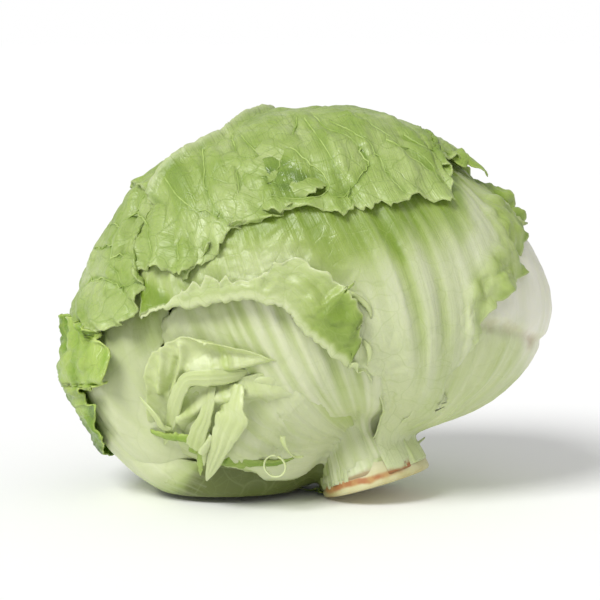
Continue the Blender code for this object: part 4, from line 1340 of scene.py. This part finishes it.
def stem_material():
    """Cream stem with lengthwise grain, browned where the knife went through."""
    material, tree, shader = new_finish("cut_stem")
    place = tree.add("ShaderNodeTexCoord", output="Object")
    brown = tree.add("ShaderNodeAttribute", output="Fac", attribute_name="stain")
    white = tree.add("ShaderNodeAttribute", output="Fac", attribute_name="white")
    grain = tree.add("ShaderNodeTexNoise", {"Vector": place, "Scale": 260.0, "Detail": 4.0})
    patch = tree.add("ShaderNodeTexNoise", {"Vector": place, "Scale": 95.0, "Detail": 3.0})
    cream = tree.blend(tree.smooth(patch, 0.35, 0.68), (0.60, 0.57, 0.33, 1), (0.50, 0.44, 0.19, 1))
    cream = tree.blend(white, cream, (0.66, 0.66, 0.46, 1))
    rust = tree.blend(tree.smooth(grain, 0.35, 0.65), (0.42, 0.17, 0.06, 1), (0.50, 0.30, 0.11, 1))
    patchy = tree.maths("MULTIPLY_ADD", brown, 1.0, tree.maths("SUBTRACT", patch, 0.5))
    browned = tree.smooth(patchy, 0.28, 0.72)
    tree.tree.links.new(tree.blend(browned, cream, rust), shader.inputs["Base Color"])
    shader.inputs["Roughness"].default_value = 0.5
    bumps = tree.add("ShaderNodeBump", {"Height": grain, "Distance": 0.35 * MM, "Strength": 0.8})
    tree.tree.links.new(bumps, shader.inputs["Normal"])
    shader.inputs["Subsurface Weight"].default_value = 0.15
    shader.inputs["Subsurface Radius"].default_value = (1.0, 0.8, 0.4)
    shader.inputs["Subsurface Scale"].default_value = 3 * MM
    return material


def make_stem():
    """The conical stem, a little ragged at its slanted cut, and the cut face with its ring of vessels."""
    azimuth = np.linspace(0, 2 * math.pi, STEM_COLUMNS, endpoint=False)
    aside = direction(math.pi / 2, azimuth)
    end = cut_height(azimuth, STEM_RIM)
    ragged = noise(aside * 20 * MM, 5 * MM, 40)
    front_brown = 0.35 + 0.65 * bump(np.degrees((azimuth + math.pi) % (2 * math.pi) - math.pi), -25, 55)
    rows, browns, whites = [], [], []
    for part in np.linspace(0, 1, STEM_ROWS):
        distance = STEM_TOP + (end - STEM_TOP) * part
        middle = HEAD_CENTRE + distance[:, None] * STEM_AXIS
        wobble = 0.5 * MM * noise(middle + aside * 20 * MM, 7 * MM, 41) * fade(part, 0.5, 0.9)
        radius = stem_radius(distance) + wobble - 0.8 * MM * fade(part, 0.985, 1.0)
        rows.append(middle + radius[:, None] * aside)
        browned = 0.95 * bump(part, 0.945 + 0.02 * ragged, 0.03) * front_brown
        browns.append(browned + 0.25 * fade(part, 0.98, 1.0))
        whites.append(np.full(STEM_COLUMNS, 0.35 * (1 - fade(part, 0.88, 0.93))))
    centre = HEAD_CENTRE + STEM_AXIS * (STEM_CUT_DISTANCE / (STEM_AXIS @ STEM_CUT_NORMAL))
    rim = rows[-1]
    for part in np.linspace(0, 1, STEM_CUT_ROWS)[1:-1]:
        ring = rim + (centre - rim) * part
        dip = 0.35 * MM * np.sin(part * 40) * (1 - part) + 0.5 * MM * noise(ring, 6 * MM, 42)
        rows.append(ring - STEM_CUT_NORMAL * (0.5 * MM + dip[:, None]))
        browns.append(0.35 * bump(part, 0.05, 0.05) + 0.45 * bump(part, 0.42, 0.05) + 0.10 + 0 * ragged)
        whites.append(np.full(STEM_COLUMNS, 0.3 * bump(part, 0.75, 0.2)))
    points = np.array(rows)
    points = np.concatenate((points, points[:, :1]), axis=1)
    values = {"stain": np.array(browns), "white": np.array(whites)}
    values = {key: np.concatenate((value, value[:, :1]), axis=1) for key, value in values.items()}
    points[..., 2] = np.maximum(points[..., 2], SURFACE_CLEARANCE)
    mesh = mesh_from_grid("stem_fine", points, values)
    mesh.materials.append(stem_material())
    close_stem(mesh)
    dress(new_object("stem_fine", mesh), "stem", "stem")


def close_stem(mesh):
    """Join the seam of the turned grid and close both ends."""
    shape = bmesh.new()
    shape.from_mesh(mesh)
    bmesh.ops.remove_doubles(shape, verts=shape.verts, dist=0.01 * MM)
    edges = [edge for edge in shape.edges if edge.is_boundary]
    bmesh.ops.holes_fill(shape, edges=edges, sides=0)
    bmesh.ops.recalc_face_normals(shape, faces=shape.faces)
    shape.to_mesh(mesh)
    shape.free()
    mesh.shade_smooth()


for make_leaf in (make_hood_top, make_hood_left, make_ribbed, make_right_wrapper, make_back_wrapper,
                  make_left_wrapper, make_pale_wrapper, make_bottom, make_left_outer, make_back_outer,
                  make_torn_upper, make_torn_middle, make_torn_lower):
    make_leaf()
for number, strip in enumerate(STRIPS):
    make_strip(strip, number)
make_ring()
for number, layer in enumerate(HEART_LAYERS):
    make_heart_leaf(number, layer)
make_stem()

# ---------------------------------------------------------------- floor, light and camera

FLOOR_SIZE = 60.0
FLOOR_COLOUR = (0.97, 0.97, 0.97, 1)
FLOOR_ROUGHNESS = 0.9
KEY_STRENGTH = 2.3
KEY_DIRECTION = (-0.62, -0.80, 1.0)
KEY_SOFTNESS = math.radians(24)
FILL_STRENGTH = 0.56
CAMERA_RISE = math.radians(7)
CAMERA_DISTANCE = 0.9
CAMERA_TARGET = np.array((0, 0, 0.0785))
FRAME_WIDTH = 0.246
SENSOR_WIDTH = 36.0


def make_floor():
    half = FLOOR_SIZE / 2
    mesh = bpy.data.meshes.new("floor")
    corners = [(-half, -half, 0), (half, -half, 0), (half, half, 0), (-half, half, 0)]
    mesh.from_pydata(corners, [], [(0, 1, 2, 3)])
    material, _, shader = new_finish("pale_floor")
    shader.inputs["Base Color"].default_value = FLOOR_COLOUR
    shader.inputs["Roughness"].default_value = FLOOR_ROUGHNESS
    mesh.materials.append(material)
    new_object("floor", mesh)


def make_world():
    """A white studio: plain white behind the head, and a softer even light all round."""
    world = bpy.data.worlds.new("studio")
    bpy.context.scene.world = world
    world.use_nodes = True
    tree = Tree(world.node_tree)
    background = world.node_tree.nodes["Background"]
    background.inputs["Color"].default_value = (1, 1, 1, 1)
    seen = tree.add("ShaderNodeLightPath", output="Is Camera Ray")
    strength = tree.add("ShaderNodeMapRange", {"Value": seen, "To Min": FILL_STRENGTH, "To Max": 1.0})
    world.node_tree.links.new(strength, background.inputs["Strength"])


def facing(back):
    return Vector(list(back)).to_track_quat("Z", "Y").to_euler()


def make_light():
    light = bpy.data.lights.new("key", "SUN")
    light.energy = KEY_STRENGTH
    light.angle = KEY_SOFTNESS
    lamp = bpy.data.objects.new("key", light)
    lamp.rotation_euler = facing(KEY_DIRECTION)
    bpy.context.scene.collection.objects.link(lamp)


def make_camera():
    back = np.array((0, -math.cos(CAMERA_RISE), math.sin(CAMERA_RISE)))
    lens = bpy.data.cameras.new("camera")
    lens.sensor_width = SENSOR_WIDTH
    lens.lens = SENSOR_WIDTH * CAMERA_DISTANCE / FRAME_WIDTH
    camera = bpy.data.objects.new("camera", lens)
    camera.location = CAMERA_TARGET + back * CAMERA_DISTANCE
    camera.rotation_euler = facing(back)
    bpy.context.scene.collection.objects.link(camera)
    bpy.context.scene.camera = camera
    bpy.context.scene.view_settings.view_transform = "Standard"


make_floor()
make_world()
make_light()
make_camera()
